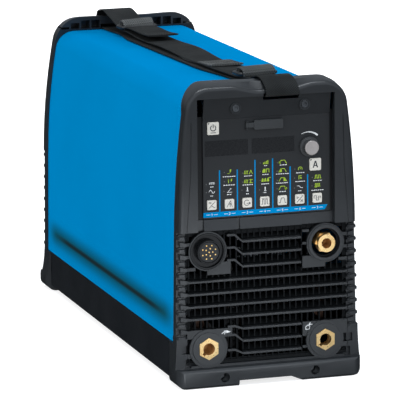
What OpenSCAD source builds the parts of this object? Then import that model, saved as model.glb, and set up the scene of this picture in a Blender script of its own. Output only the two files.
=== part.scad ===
/* [Overall] */
// Overall length, front bumper to rear bumper
length = 569; // [567:0.5:573]
// Overall width across the foot flares
width = 219; // [217:0.5:221]
// Height of the top of the sheet cover
cover_top = 320; // [319.5:0.1:320.2]

/* [Cover] */
// Thickness of the cover sheet
sheet = 1.5; // [1:0.1:1.8]
// Height of the lower edge of the cover
cover_bottom = 49; // [48.8:0.1:49.5]

/* [Controls] */
// Travel of a key
key_travel = 0.8; // [0.5:0.1:0.9]
// Gap around a key in its window
key_gap = 0.4; // [0.3:0.05:0.5]
// Radius of the knob's cap
knob_r = 7.7; // [7:0.1:8.5]
// Radius of the knob's skirt
skirt_r = 11; // [10:0.1:11.4]

/* [Sockets] */
// Half the distance between the sockets of a pair
socket_x = 67; // [66.5:0.1:67.5]
// Height of the lower sockets
socket_z_low = 42.3; // [42:0.1:42.6]
// Height of the upper sockets
socket_z_up = 150.3; // [149.8:0.1:150.3]
// Bore radius of the welding sockets
weld_bore_r = 6.5; // [6:0.05:7]
// Bore radius of the gas outlet
gas_bore_r = 5.6; // [5:0.05:6]

/* [Strap] */
// Width of the webbing
strap_w = 38; // [34:0.5:40]
// Thickness of the webbing
strap_t = 1.8; // [1.5:0.1:2]

/* [Hidden] */
$fn = 48;

hl = length / 2;            // front and rear bumper planes
hw = width / 2;             // widest point of the feet
wall_y = hl - 14.2;         // back face of a bezel's front wall
face_y = hl - 5;            // front face of a bezel's frame
pan_x = 103.2;              // half width of the base pan
panel_y = -(hl - 12);       // face of the control panel
saddle_x = 7;               // middle of the hood's dip
screw_x = [-35, 43.5];      // screws under the hood
socket_off = -1.3;          // the welding and remote sockets sit a little left of the middle
gas_x = socket_x - 0.4;     // gas outlet
inner_x = [-71.2, 73.2];    // panel, sill and hood wall between the frame's side gaps
black = "#24282b";
steel = "#9aa0a4";
brass = "#d9a441";

// ---- outlines -------------------------------------------------------------
function lean(z) = z < 175 ? 0 : (z - 175) * (z - 175);
function cw(z) = 103 - 0.0175 * (z - 49) - 0.00064 * lean(z);
function bw(z, rear) = rear ? cw(z) + 2.6 : 102.6 - 0.008 * (z - 49) - 0.00047 * lean(z);
function ease(t) = t <= 0 ? 0 : t >= 1 ? 1 : t * t * (3 - 2 * t);
function rev(v) = [for (i = [len(v) - 1 : -1 : 0]) v[i]];
function mir(v) = [for (p = rev(v)) [-p[0], p[1]]];

// Left half of the cover's outline, d inside the outer skin, from height zb up
function cover_half(d, zb) = concat(
  [for (z = concat([zb], [for (q = [90, 130, 175, 195, 215, 235, 255, 275, 290]) q])) [-(cw(z) - d), z]],
  [for (a = [170 : -8 : 90]) [-66.7 + (22 - d) * cos(a), cover_top - 22 + (22 - d) * sin(a)]]);
function cover_pts(d, zb) = concat(cover_half(d, zb), mir(cover_half(d, zb)));

// Outline of a bezel above its sill: d inset, sd depth of the dip, dz rise of the crown
function dip(x) = 1 - ease((abs(x - saddle_x) - 17) / 31);
function bez_half(d, dz, rear) =
  let (rc = rear ? 31 : 27, a0 = rear ? 10 : 7, top = rear ? 335 : 329.5,
       zs = top - rc + rc * sin(a0), xc = bw(zs, rear) - rc * cos(a0))
  concat([for (z = [172, 190, 210, 230, 250, 270, 287]) [-(bw(z, rear) - d), z]],
    [for (i = [0 : 9]) let (a = 180 - a0 - i * (90 - a0) / 9)
      [-xc + (rc - d) * cos(a), top - rc + (rc - d) * sin(a) + dz * (sin(a) - sin(a0)) / (1 - sin(a0))]]);
function bez_pts(d, sd, dz, rear) =
  let (h = bez_half(d, dz, rear), e = h[len(h) - 1], n = 26)
  concat(h, [for (j = [1 : n - 1]) let (x = e[0] * (1 - 2 * j / n)) [x, e[1] - sd * dip(x)]], mir(h));

// Solid through a row of outlines of n points, each [y, points], front to back
module loft(rows) {
  n = len(rows[0][1]);
  m = len(rows);
  polyhedron(
    points = [for (r = rows) for (p = r[1]) [p[0], r[0], p[1]]],
    faces = concat([[for (j = [0 : n - 1]) j]],
      [for (i = [0 : m - 2]) for (j = [0 : n - 1]) let (k = (j + 1) % n) each
        [[i * n + j, (i + 1) * n + j, (i + 1) * n + k], [i * n + j, (i + 1) * n + k, i * n + k]]],
      [[for (j = [n - 1 : -1 : 0]) (m - 1) * n + j]]));
}
// Extrudes a drawing in x and z along y, and one in y and z along x
module along_y(y0, y1) { translate([0, y1, 0]) rotate([90, 0, 0]) linear_extrude(height = y1 - y0) children(); }
module along_x(x0, x1) { translate([x0, 0, 0]) rotate([90, 0, 90]) linear_extrude(height = x1 - x0) children(); }
module block(x0, x1, y0, y1, z0, z1) { translate([x0, y0, z0]) cube([x1 - x0, y1 - y0, z1 - z0]); }
module rod_y(x, z, r, y0, y1) { translate([x, y1, z]) rotate([90, 0, 0]) cylinder(r = r, h = y1 - y0); }
module both() { children(); mirror([1, 0, 0]) children(); }
// Rounded rectangle of a by b about the origin
module pill(a, b, r) {
  square([a - 2 * r, b], center = true);
  square([a, b - 2 * r], center = true);
  for (i = [-1, 1]) for (j = [-1, 1]) translate([i * (a / 2 - r), j * (b / 2 - r)]) circle(r = r);
}

// ---- housing --------------------------------------------------------------
module base_pan() {
  color(black) difference() {
    union() {
      block(-pan_x, pan_x, -253, 253, 7, cover_bottom - 0.3);
      // upstand inside the cover
      block(-100.9, 100.9, -250, 250, 40, 62);
    }
    block(-99.4, 99.4, -251, 251, 9, 80);
    block(-99.4, 99.4, -254, -250, 20, 80);
    block(-99.4, 99.4, 250, 254, 20, 80);
    for (x = [-51.8, 51.8]) rod_y(x, 10.3, 2.2, -260, 260);
  }
}
module wrap_cover() {
  color("#0080c0") along_y(-wall_y + 0.3, wall_y - 0.3)
    polygon(concat(cover_pts(0, cover_bottom), rev(cover_pts(sheet, cover_bottom))));
}
// Foot and flare under a bezel, front at -y
module foot(rear) {
  r = rear ? 6 : 10;
  w = rear ? hw : hw - 2.5;
  k = rear ? 1 : 0.52;
  half = concat([for (a = [-90 : 15 : 0]) [w - 12 + 12 * cos(a), 12 + 12 * sin(a)]],
    [[w, 15], [w - 1.2 * k, 20], [w - 2.9 * k, 28], [w - 4.2 * k, 38], [w - 5 * k, 48], [w - 5.4 * k, 57]]);
  gap = rear ? [[36, 0], [30, 6], [-30, 6], [-36, 0]] : [[38, 0], [24, 6], [-35.4, 6], [-35.6, 0]];
  plan = concat([[w - 5.5 * k, -249], [w, -255]], [for (a = [0 : -15 : -90]) [w - r + r * cos(a), -hl + r + r * sin(a)]]);
  intersection() {
    along_y(-hl, -240) polygon(concat(half, mir(half), rev(gap)));
    linear_extrude(height = 60) polygon(concat(plan, mir(plan)));
    along_x(-120, 120) polygon([[-hl + 2.5, 0], [-hl, 2.5], [-hl, 18], [-hl + 1.4, 20.6], [-hl + 8, 21.5], [-hl + 8.3, 57], [-hl + 22, 57], [-hl + 22, cover_bottom - 0.4], [-241, cover_bottom - 0.4], [-241, 0]]);
  }
}
// Tooth of a ribbed corner, between two blades, and the wedge at a blade's end
module tooth(z, out) {
  x = cw(z) + out;
  translate([0, 0, z - 1.4]) linear_extrude(height = 2.8)
    polygon(concat([[92.3, -wall_y - 1], [92.3, -face_y + 3.4], [95, -face_y + 1]],
      [for (a = [-90 : 15 : 0]) [x - 3 + 3 * cos(a), -face_y + 4 + 3 * sin(a)]], [[x, -wall_y - 1]]));
  along_y(-face_y + 4.6, -wall_y - 1) polygon([[94, z - 2.6], [x - 2.5, z - 3.6], [x - 0.6, z - 2], [x - 0.6, z + 2], [x - 2.5, z + 3.4], [94, z + 2.6]]);
}
module wedge(z) {
  along_y(-face_y + 1.6, -wall_y - 1) polygon([[92.3, z - 1.3], [92.3, z + 2.1], [99.3, z + 3.7], [99.7, z + 3.2], [99.7, z - 0.6], [99.1, z - 1.3]]);
}
// A bezel with its front at -y: frame, hood, ribbed corners and foot
module bezel(rear) {
  sd = rear ? 1.5 : 5.5;
  up = rear ? 1.5 : 2.4;
  wx = rear ? [-78.6, 78.6] : [-79.4, 76.8];
  difference() {
    union() {
      difference() {
        loft(concat([for (a = [0 : 18 : 90]) [-face_y + 5 * (1 - cos(a)), bez_pts(5 * (1 - sin(a)), sd, 0, rear)]],
          [[-hl + 19, bez_pts(0, 0.8, up, rear)], [-hl + (rear ? 27 : 43), bez_pts(0, 0.8, rear ? up : 2.9, rear)]]));
        // leaning back edge
        along_x(-130, 130) polygon(concat([[-hl + 23, 100], [-hl + (rear ? 22 : 18.5), 300]],
          rear ? [[-hl + 26, 322], [-hl + 26, 360]] : [[-hl + 26, 317], [-hl + 40, 320.5], [-hl + 42, 322.5], [-hl + 35, 332], [-hl + 33, 340], [-hl + 33, 360]],
          [[-hl + 60, 360], [-hl + 60, 100]]));
        // back edge of the hood, rounded in at the corners
        if (!rear) translate([0, 0, 300]) linear_extrude(height = 60) polygon([[-130, -hl + 18], [-100, -hl + 19], [-93, -hl + 23], [-86, -hl + 28], [-77, -hl + 33.5], [-66, -hl + 38], [-50, -hl + 42.5],
          [50, -hl + 42.5], [66, -hl + 38], [77, -hl + 33.5], [86, -hl + 28], [93, -hl + 23], [100, -hl + 19], [130, -hl + 18], [130, -hl + 60], [-130, -hl + 60]]);
        // window above the sill
        block(wx[0], wx[1], -hl - 1, -wall_y + 1, 184, rear ? 312 : 316.5);
        along_x(wx[0], wx[1]) polygon([[-hl - 1, 171], [-hl + 9, 171], [-hl + 11.5, 184.5], [-hl - 1, 184.5]]);
        // crease down each side of the frame's face
        if (!rear) both() along_y(-hl, -face_y + 0.7) polygon([[91.9, 172.5], [92.9, 172.5], [88, 236], [86.8, 292], [85.8, 292], [87, 236]]);
      }
      if (!rear) along_x(inner_x[0], inner_x[1]) polygon([[-hl + 11.6, 293.3], [-hl + 6.6, 317], [-wall_y, 317], [-wall_y, 293.3]]);
      if (!rear) for (x = screw_x) rod_y(x, 304.5, 6.2, -hl + 7.2, -wall_y);
      // skirt and corner posts below the sill
      along_y(-wall_y, -hl + 22) polygon(cover_pts(rear ? -2.4 : -0.9, 40));
      both() block(92.3, cw(57) - 0.4, -hl + 8.4, -wall_y, 20, 56.5);
      intersection() {
        along_y(-wall_y - 1.4, -wall_y + 0.1) polygon(cover_pts(rear ? -2.4 : -0.9, 40));
        block(-120, 120, -wall_y - 2, -wall_y + 1, 40, 172.2);
      }
      both() for (i = [0 : 7]) wedge(blade_z(i));
      both() for (i = [-1 : 7]) tooth(blade_z(i) - 5.6, rear ? 2.4 : 1.2);
      foot(rear);
    }
    // room for the cover, and for the base pan's end
    along_y(-wall_y, -200) polygon(cover_pts(-0.25, 24));
    block(-pan_x - 0.1, pan_x + 0.1, -255, -200, 6.9, 60);
    // opening for the grille
    block(-92.3, 92.3, -hl - 1, -wall_y + 1, 24, 172);
    if (!rear) for (s = [-1, 1]) rod_y(s * socket_x + socket_off, socket_z_low, 21.8, -hl + 7, -wall_y + 3.3);
    // pockets beside the lower sockets
    both() block(90, 98, -hl, -wall_y - 1.4, 38, 47.5);
    both() block(88, 95.4, -hl + 7.9, -wall_y - 1.4, 22, 32.3);
    // groove and step in the sill
    if (!rear) block(-33, -30.4, -hl, -hl + 12.4, 171, 186);
    if (!rear) along_x(40, wx[1]) polygon([[-hl - 1, 171], [-hl + 11.6, 171], [-hl + 12.4, 184.5], [-hl - 1, 184.5]]);
    // side gaps run on down past the sill
    if (!rear) { block(wx[0], inner_x[0], -hl - 1, -hl + 13, 171, 186); block(inner_x[1], wx[1], -hl - 1, -hl + 13, 171, 186); }
    // nothing of the skirt stands above the sill, outside the frame
    difference() {
      block(-130, 130, -wall_y - 0.1, -hl + 40, 172.2, 319);
      along_y(-hl, -hl + 41) polygon(concat([[-140, 170]], bez_half(0, 3, rear), mir(bez_half(0, 3, rear)), [[140, 170]]));
    }
    // screw access in the foot
    for (s = [-1, 1]) rod_y(s * 51.8, 10.3, 5.2, -hl - 1, -hl + 20);
    for (s = [-1, 1]) rod_y(s * 51.8, 10.3, 2.2, -hl + 19, -200);
    // way of the strap round the top bar
    sx = rear ? [-32.6, 9.2] : [-6.2, 36.4];
    if (!rear) block(sx[0] + 2, sx[1], -hl - 1, -hl + 11.2, 312, 319.6);
    if (rear) along_x(sx[0], sx[1]) polygon([[-hl - 1, cover_top + 0.4], [-hl + 40, cover_top + 0.4], [-hl + 40, 327], [-hl - 1, 327]]);
    else along_x(sx[0], sx[1]) polygon([[-hl + 10.2, 312], [-wall_y, 312], [-wall_y, cover_top + 0.4], [-hl + 47, cover_top + 0.4], [-hl + 47, 325.4], [-hl + 20, 325.4],
      [-hl + 15, 323.8], [-hl + 12.6, 322.4], [-hl + 11, 320.6], [-hl + 10.2, 318.6]]);
    if (!rear) for (x = screw_x) { rod_y(x, 304.5, 2.2, -hl, -200); rod_y(x, 304.5, 4.4, -hl, -hl + 9); }
    // rib cells along the forward edge of the rear bezel's crown
    if (rear) for (i = [-6 : 6]) if (i < -2 || i > 0) block(i * 13 - 5.4, i * 13 + 5.4, -hl + 9, -hl + 40, cover_top + 2.2, abs(i) > 5 ? 325 : abs(i) > 4 ? 329.5 : 332.2);
  }
}
module front_bezel() { color(black) bezel(false); }
module rear_bezel() { color(black) mirror([0, 1, 0]) bezel(true); }

// Height of louvre blade i, counted from the top
function blade_z(i) = 158.3 - 13.8 * i;
// One louvre blade at height z, from x0 to x1
module blade(z, x0, x1) {
  along_x(x0, x1) polygon([[-hl + 7.6, z - 1.2], [-hl + 7.6, z + 0.5], [-hl + 8, z + 0.9], [-hl + 9.6, z + 0.9], [-hl + 11, z + 1.4], [-hl + 13, z + 3],
    [-wall_y + 3, z + 7.6], [-wall_y + 3, z + 5], [-hl + 12, z - 0.6], [-hl + 10, z - 1.2]]);
}
// Blade end that climbs to the left beside a socket
module blade_end(z, rise) {
  along_y(-hl + 7.7, -wall_y + 3) polygon([[-46, z - 1.2 + rise], [-46, z + 1.1 + rise], [-38, z + 1.1 + rise], [-36.8, z + 0.7 + rise], [-28.2, z + 0.8], [-28.2, z - 1.2], [-38, z - 1.2 + rise]]);
}
module blade_tip(z) { along_y(-hl + 7.7, -wall_y + 3) polygon([[86, z - 1.2], [86, z + 0.8], [89, z + 0.9], [92, z + 2], [92, z - 1.2]]); }
module front_grille() {
  color(black) difference() {
    union() {
      for (i = [0 : 9]) if (i > 2 && i < 7) blade(blade_z(i), -92, 92); else blade(blade_z(i), -28.4, 38.6);
      for (i = [0 : 2]) blade_end(blade_z(i), 8);
      blade_end(blade_z(7), 3.4);
      blade_end(blade_z(8), 7.6);
      blade_end(blade_z(9), 4.6);
      both() for (i = [3 : 7]) blade_tip(blade_z(i));
      // upright ribs behind the blades, and the rim
      for (i = [-13 : 13]) block(i * 6.8 - 0.8, i * 6.8 + 0.8, -wall_y - 1.2, -wall_y + 3, 24.2, 171.8);
      both() block(88, 95, -wall_y, -wall_y + 3, 24.2, 171.8);
      block(-95, 95, -wall_y, -wall_y + 3, 166, 171.8);
      block(-95, 95, -wall_y, -wall_y + 3, 24.2, 29);
      block(-92, 92, -wall_y - 2, -wall_y, 24.2, 27.5);
      // socket rings and plates
      for (s = [-1, 1]) for (z = [socket_z_low, socket_z_up]) {
        x = z == socket_z_up && s == 1 ? gas_x : s * socket_x + socket_off;
        rod_y(x, z, 21.6, -hl + 7.2, -wall_y + 3);
        block(x - 12, x + 12, -wall_y, -wall_y + 3, z - 16.7, z + 21.5);
      }
      block(-68.5, -42, -hl + 8.6, -wall_y + 3, 123.7, 137.4);
      block(40.4, 66.5, -hl + 8.6, -wall_y + 3, 123.7, 136.8);
      block(-92, -40.7, -hl + 8.6, -wall_y + 3, 54, 63.4);
      block(40.3, 92, -hl + 8.6, -wall_y + 3, 47.5, 63.4);
      // short bars beside the rings
      for (z = [164.8, 151, 35.6]) block(40.4, 48, -hl + 8.6, -wall_y + 3, z - 1.3, z + 1.3);
      both() for (i = [0 : 2]) block(82, 92, -hl + 8.4, -wall_y + 3, blade_z(i) - 1.3, blade_z(i) + 2.1);
      both() block(84, 92, -hl + 8.4, -wall_y + 3, 32.6, 37.6);
    }
    for (s = [-1, 1]) rod_y(s * socket_x + socket_off, socket_z_low, 18.1, -hl, -hl + 11.5);
    for (s = [-1, 1]) rod_y(s * socket_x + socket_off, socket_z_low, 12, -hl, -wall_y + 10);
    rod_y(-socket_x + socket_off, socket_z_up, 20.2, -hl, -hl + 12);
    rod_y(-socket_x + socket_off, socket_z_up, 15.6, -hl, -wall_y + 10);
    rod_y(gas_x, socket_z_up, 20.1, -hl, -hl + 12);
    rod_y(gas_x, socket_z_up, 14.5, -hl, -wall_y + 10);
  }
}
module rear_grille() {
  color(black) mirror([0, 1, 0]) difference() {
    union() {
      block(-84, 84, -wall_y, -wall_y + 3, 172, 300);
      block(-95, 95, -wall_y, -wall_y + 3, 24.2, 172);
      block(-78.2, 78.2, -wall_y - 3, -wall_y, 184.4, 311.5);
      for (i = [0 : 9]) blade(blade_z(i), -92, 92);
      both() for (i = [0 : 9]) blade_tip(blade_z(i));
    }
    difference() {
      block(-86, 86, -wall_y - 0.01, -wall_y + 4, 30, 166);
      for (i = [0 : 9]) blade(blade_z(i), -92, 92);
      for (i = [-8 : 8]) block(i * 10.4 - 1, i * 10.4 + 1, -wall_y - 1.5, -wall_y + 3, 24.2, 171.8);
    }
    // cord gland and gas inlet
    rod_y(45, 232, 13.05, -hl, -200);
    rod_y(-45, 232, 8.05, -hl, -200);
  }
}

// ---- control panel --------------------------------------------------------
row_x = [for (i = [0 : 6]) -61.8 + 20.1 * i];
row_z = 200;
knob = [49.4, 257.4];
card_z = 285;
hinge_x = -21.6;
hinge_y = panel_y - 1.9;
module control_panel() {
  color("#2c3033") difference() {
    union() {
      along_y(panel_y, panel_y + 5) translate([(inner_x[0] + inner_x[1]) / 2, 239]) pill(inner_x[1] - inner_x[0], 108.2, 1.5);
      block(-84, 84, -wall_y, panel_y + 5, 172.4, 296.4);
      // lugs of the tether's hinge
      for (s = [-1, 1]) block(hinge_x - 1.4, hinge_x + 1.4, panel_y - 3, panel_y + 1, card_z + s * 4 - 0.8, card_z + s * 4 + 0.8);
      translate([hinge_x, hinge_y, card_z - 4]) cylinder(r = 0.7, h = 8);
    }
    for (x = row_x) along_y(panel_y - 1, panel_y + 9) translate([x, row_z]) pill(10.5 + 2 * key_gap, 10.6 + 2 * key_gap, 1.5);
    along_y(panel_y - 1, panel_y + 9) translate([-59.6, 283.6]) pill(13 + 2 * key_gap, 13.7 + 2 * key_gap, 1.5);
    along_y(panel_y - 1, panel_y + 9) translate([56.6, 237.2]) pill(13.1 + 2 * key_gap, 13.4 + 2 * key_gap, 1.5);
    rod_y(knob[0], knob[1], 4.6, panel_y - 1, panel_y + 9);
    // card slot
    block(-11, 16.6, panel_y - 1, panel_y + 9, card_z - 3.2, card_z + 3.2);
    // display recesses and their light windows
    for (x = [-44.6, 8.5]) {
      block(x - 24.3, x + 24.3, panel_y - 1, panel_y + 1.2, 253.1, 269.9);
      block(x - 21, x + 21, panel_y - 1, panel_y + 9, 255.5, 267.5);
    }
  }
}
module display_windows() {
  color("#101214") for (x = [-44.6, 8.5])
    block(x - 24.3, x + 24.3, panel_y + 0.15, panel_y + 1.2, 253.1, 269.9);
}
module panel_board() {
  color("#1d5a36") difference() {
    block(-74, 74, panel_y + 8.6, panel_y + 10.2, 186, 294);
    rod_y(knob[0], knob[1], 3.6, panel_y, panel_y + 20);
  }
}
module encoder_body() {
  color(steel) difference() {
    union() {
      block(knob[0] - 6.5, knob[0] + 6.5, panel_y + 5.1, panel_y + 8.6, knob[1] - 6.5, knob[1] + 6.5);
      rod_y(knob[0], knob[1], 4.5, panel_y + 0.2, panel_y + 6);
    }
    rod_y(knob[0], knob[1], 3.05, panel_y - 1, panel_y + 8.2);
  }
}
module encoder_shaft() { color(steel) rod_y(knob[0], knob[1], 3, panel_y - 8, panel_y + 7.8); }
module encoder_knob() {
  color("#8d8c8a") difference() {
    union() {
      rod_y(knob[0], knob[1], skirt_r, panel_y - 3.2, panel_y - 0.4);
      translate([knob[0], panel_y - 3.1, knob[1]]) rotate([90, 0, 0])
        rotate_extrude() polygon([[0, 0], [knob_r + 0.9, 0], [knob_r, 7.6], [knob_r - 0.8, 8.5], [0, 8.5]]);
    }
    rod_y(knob[0], knob[1], 3, panel_y - 8, panel_y + 1);
  }
}
module card_socket() {
  color("#333333") difference() {
    block(-13, 18.6, panel_y + 5, panel_y + 8.6, card_z - 4.5, card_z + 4.5);
    block(-10, 15.6, panel_y + 4, panel_y + 7.6, card_z - 1.6, card_z + 1.6);
  }
}
module card_slot_cover() {
  color("#3c4042") difference() {
    union() {
      translate([hinge_x, hinge_y, card_z - 2.6]) cylinder(r = 1.5, h = 5.2);
      block(hinge_x, -13, hinge_y - 0.8, hinge_y + 0.8, card_z - 2.6, card_z + 2.6);
      along_y(panel_y - 3.6, panel_y - 0.3) translate([2.6, card_z]) pill(33, 10.4, 1.6);
      block(-10.6, 16.1, panel_y - 0.5, panel_y + 1.6, card_z - 2.7, card_z + 2.7);
    }
    translate([hinge_x, hinge_y, card_z - 5]) cylinder(r = 0.76, h = 10);
  }
}
// A key of a by b with its retaining flange behind the panel
module key(x, z, a, b) {
  color("#c8c6be") {
    along_y(panel_y - 1, panel_y + 5.3) translate([x, z]) pill(a, b, 1.3);
    along_y(panel_y + 5.3, panel_y + 6.3) translate([x, z]) square([a + 2.4, b + 2.4], center = true);
  }
}
module key_power() { key(-59.6, 283.6, 13, 13.7); }
module key_amps() { key(56.6, 237.2, 13.1, 13.4); }
module row_key(i) { key(row_x[i], row_z, 10.5, 10.6); }
module key_1() { row_key(0); }
module key_2() { row_key(1); }
module key_3() { row_key(2); }
module key_4() { row_key(3); }
module key_5() { row_key(4); }
module key_6() { row_key(5); }
module key_7() { row_key(6); }

// ---- front connectors -----------------------------------------------------
module remote_shell() {
  x = -socket_x + socket_off; z = socket_z_up;
  color("#15181a") difference() {
    union() {
      // flange with a deep cup round the barrel
      difference() { rod_y(x, z, 20, -hl + 6.5, -hl + 12); rod_y(x, z, 17.8, -hl, -hl + 9.5); }
      rod_y(x, z, 15.4, -hl + 11, -hl + 32);
      rod_y(x, z, 13.2, -hl + 0.8, -hl + 12);
    }
    rod_y(x, z, 11.6, -hl, -hl + 2.4);
    rod_y(x, z, 11, -hl, -hl + 40);
  }
}
remote_pins = concat([for (i = [0 : 7]) [7.8 * cos(45 * i + 22), 7.8 * sin(45 * i + 22)]], [for (i = [0 : 4]) [4.1 * cos(72 * i), 4.1 * sin(72 * i)]], [[0, 0]]);
module remote_insert() {
  color("#202326") difference() {
    rod_y(-socket_x + socket_off, socket_z_up, 10.95, -hl + 2.4, -hl + 30);
    for (p = remote_pins) rod_y(-socket_x + socket_off + p[0], socket_z_up + p[1], 0.8, -hl, -hl + 40);
  }
}
module remote_contacts() { color(brass) for (p = remote_pins) rod_y(-socket_x + socket_off + p[0], socket_z_up + p[1], 0.8, -hl + 1.9, -hl + 36); }
module gas_collar() {
  color(black) difference() {
    rod_y(gas_x, socket_z_up, 20, -hl + 6, -hl + 12);
    rod_y(gas_x, socket_z_up, 16.4, -hl, -hl + 14);
  }
}
module gas_outlet() {
  x = gas_x; z = socket_z_up;
  color(brass) difference() {
    union() {
      rod_y(x, z, 9.9, -hl + 3.4, -hl + 10);
      translate([x, -hl + 18, z]) rotate([90, 0, 0]) cylinder(r = 11.4, h = 8.5, $fn = 6);
      rod_y(x, z, 8, -hl + 10, -hl + 36);
    }
    rod_y(x, z, gas_bore_r, -hl, -hl + 20);
    rod_y(x, z, 2.5, -hl, -hl + 40);
  }
}
module insulator(x) {
  color("#2a2d2f") difference() {
    rod_y(x, socket_z_low, 18, -hl + 6.2, -hl + 11.5);
    translate([x, -hl + 40, socket_z_low]) rotate([90, 90, 0]) cylinder(r = 12.3, h = 60, $fn = 6);
  }
}
module torch_insulator() { insulator(-socket_x + socket_off); }
module work_insulator() { insulator(socket_x + socket_off); }
module weld_socket(x) {
  color(brass) difference() {
    union() {
      translate([x, -hl + 11.5, socket_z_low]) rotate([90, 90, 0]) cylinder(r = 12.2, h = 6.3, $fn = 6);
      rod_y(x, socket_z_low, 11.8, -hl + 11.5, -hl + 34);
      rod_y(x, socket_z_low, 5, -hl + 33, -hl + 50);
    }
    rod_y(x, socket_z_low, weld_bore_r, -hl, -hl + 30);
    translate([x, -hl + 4, socket_z_low]) rotate([0, -45, 0]) translate([-9, 0, -1.7]) cube([9, 14, 3.4]);
  }
}
module torch_socket() { weld_socket(-socket_x + socket_off); }
module work_socket() { weld_socket(socket_x + socket_off); }
module socket_nuts() {
  color(steel) for (s = [-1, 1]) difference() {
    translate([s * socket_x + socket_off, -hl + 23.2, socket_z_low]) rotate([90, 0, 0]) cylinder(r = 17, h = 6, $fn = 6);
    rod_y(s * socket_x + socket_off, socket_z_low, 11.85, -hl, -hl + 40);
  }
}
// Pan-head screw along y with its head at the front
module screw(x, z, y, r, hr, l) {
  difference() {
    union() { rod_y(x, z, hr, y, y + 2.4); rod_y(x, z, r, y + 2.3, y + l); }
    translate([x, y + 1.4, z]) rotate([90, 0, 0]) cylinder(r = hr * 0.52, h = 3, $fn = 6);
  }
}
module hood_screws() { color("#3a3d40") for (x = screw_x) screw(x, 304.5, -hl + 6.6, 2.1, 4, 17); }
module foot_screws() {
  color("#3a3d40") for (m = [0, 1]) mirror([0, m, 0]) for (s = [-1, 1]) screw(s * 51.8, 10.3, -hl + 16.6, 2.1, 4.4, 18);
}

// ---- rear connectors ------------------------------------------------------
module cord_gland() {
  color("#1b1e20") difference() {
    union() {
      rod_y(45, 232, 13, wall_y - 16, wall_y + 4);
      translate([45, wall_y + 9.5, 232]) rotate([90, 0, 0]) cylinder(r = 18, h = 6.4, $fn = 6);
      translate([45, wall_y + 9, 232]) rotate([-90, 0, 0]) rotate_extrude() polygon([[0, 0], [14, 0], [13.4, 3.4], [10.5, 5], [0, 5]]);
    }
    rod_y(45, 232, 7.5, wall_y - 20, wall_y + 20);
  }
}
module gas_inlet() {
  color(brass) difference() {
    union() {
      rod_y(-45, 232, 7.9, wall_y - 12, wall_y + 13.8);
      translate([-45, wall_y + 5.6, 232]) rotate([90, 0, 0]) cylinder(r = 13, h = 2.5, $fn = 6);
    }
    rod_y(-45, 232, 4, wall_y - 30, wall_y + 20);
  }
}

// ---- inside ---------------------------------------------------------------
module divider_plate() { color(steel) difference() { block(-96, 96, -214, 214, 168, 169.6); block(-100, -82, 140, 230, 160, 180); } }
module heat_sinks() {
  color("#b9bdc0") both() {
    block(86, 93, -60, 150, 30, 160);
    for (i = [0 : 12]) block(34, 86.1, -60, 150, 33 + 10 * i, 35 + 10 * i);
  }
}
module board_standoffs() { color(steel) for (x = [-70, 70]) for (y = [-160, 0, 170]) translate([x, y, 169.6]) cylinder(r = 3, h = 10); }
module power_board() { color("#1d5a36") block(-76, 76, -170, 180, 179.6, 181.6); }
module capacitors() { color("#223a55") for (x = [-45, 0, 45]) for (y = [60, 110]) translate([x, y, 181.6]) cylinder(r = 17.5, h = 60); }
module transformer_core() {
  color("#4a4a4c") difference() {
    block(-80, -8, -200, -120, 9, 74);
    for (y = [-188, -150]) block(-81, -7, y, y + 18, 22, 62);
  }
}
module transformer_winding() {
  color("#b5652a") difference() { block(-92, 4, -187.7, -132.3, 22.3, 61.7); block(-80.2, -7.8, -170.2, -149.8, 0, 90); }
}
module inductor_core() { color("#4a4a4c") translate([50, -150, 44]) rotate([0, 90, 0]) difference() { cylinder(r = 33, h = 26, center = true); cylinder(r = 19, h = 30, center = true); } }
module inductor_winding() {
  color("#b5652a") translate([50, -150, 44]) rotate([0, 90, 0]) difference() {
    cylinder(r = 34.8, h = 36, center = true);
    cylinder(r = 33, h = 26, center = true);
    cylinder(r = 14, h = 40, center = true);
  }
}
module hf_coil() {
  color("#b5652a") translate([-40, -150, 106.2]) rotate([90, 0, 0]) rotate_extrude()
    polygon(concat([[14, -45], [14, 45]], [for (i = [8 : -1 : 0]) each [[30, -45 + 10 * i + 9], [32, -45 + 10 * i + 5], [30, -45 + 10 * i + 1]]], [[30, -45]]));
}
fan_z = 98;
module fan_frame() {
  color("#1b1e20") difference() {
    union() {
      difference() { block(-60, 60, 224, 250, fan_z - 60, fan_z + 60); rod_y(0, fan_z, 57, 200, 260); }
      for (a = [0, 90, 180, 270]) translate([0, 247, fan_z]) rotate([0, a + 20, 0]) translate([0, -2, -2]) cube([58, 4, 4]);
      rod_y(0, fan_z, 20, 244, 250);
      rod_y(0, fan_z, 3, 228, 246);
    }
    both() for (z = [-52, 52]) rod_y(52, fan_z + z, 2.2, 200, 260);
  }
}
module fan_rotor() {
  color("#2a2d30") difference() {
    union() {
      rod_y(0, fan_z, 20, 225, 243);
      for (i = [0 : 6]) translate([0, 233.5, fan_z]) rotate([0, i * 360 / 7, 0]) translate([36.5, 0, 0]) rotate([35, 0, 0]) translate([-18, -1, -11]) cube([36, 2, 22]);
    }
    rod_y(0, fan_z, 3.06, 227, 260);
  }
}
module valve_body() {
  color(brass) difference() {
    union() {
      block(-58, -32, 226, wall_y - 12.2, 219, 245);
      translate([-45, 242, 245]) cylinder(r = 12, h = 32);
      rod_y(-45, 232, 4, 218, 227);
    }
    rod_y(-45, 232, 2, 210, 300);
    translate([-45, 242, 238.5]) cylinder(r = 5.05, h = 30);
    translate([-45, 242, 231]) cylinder(r = 1.2, h = 8);
  }
}
module valve_plunger() { color(steel) translate([-45, 242, 239]) cylinder(r = 5, h = 22); }
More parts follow.
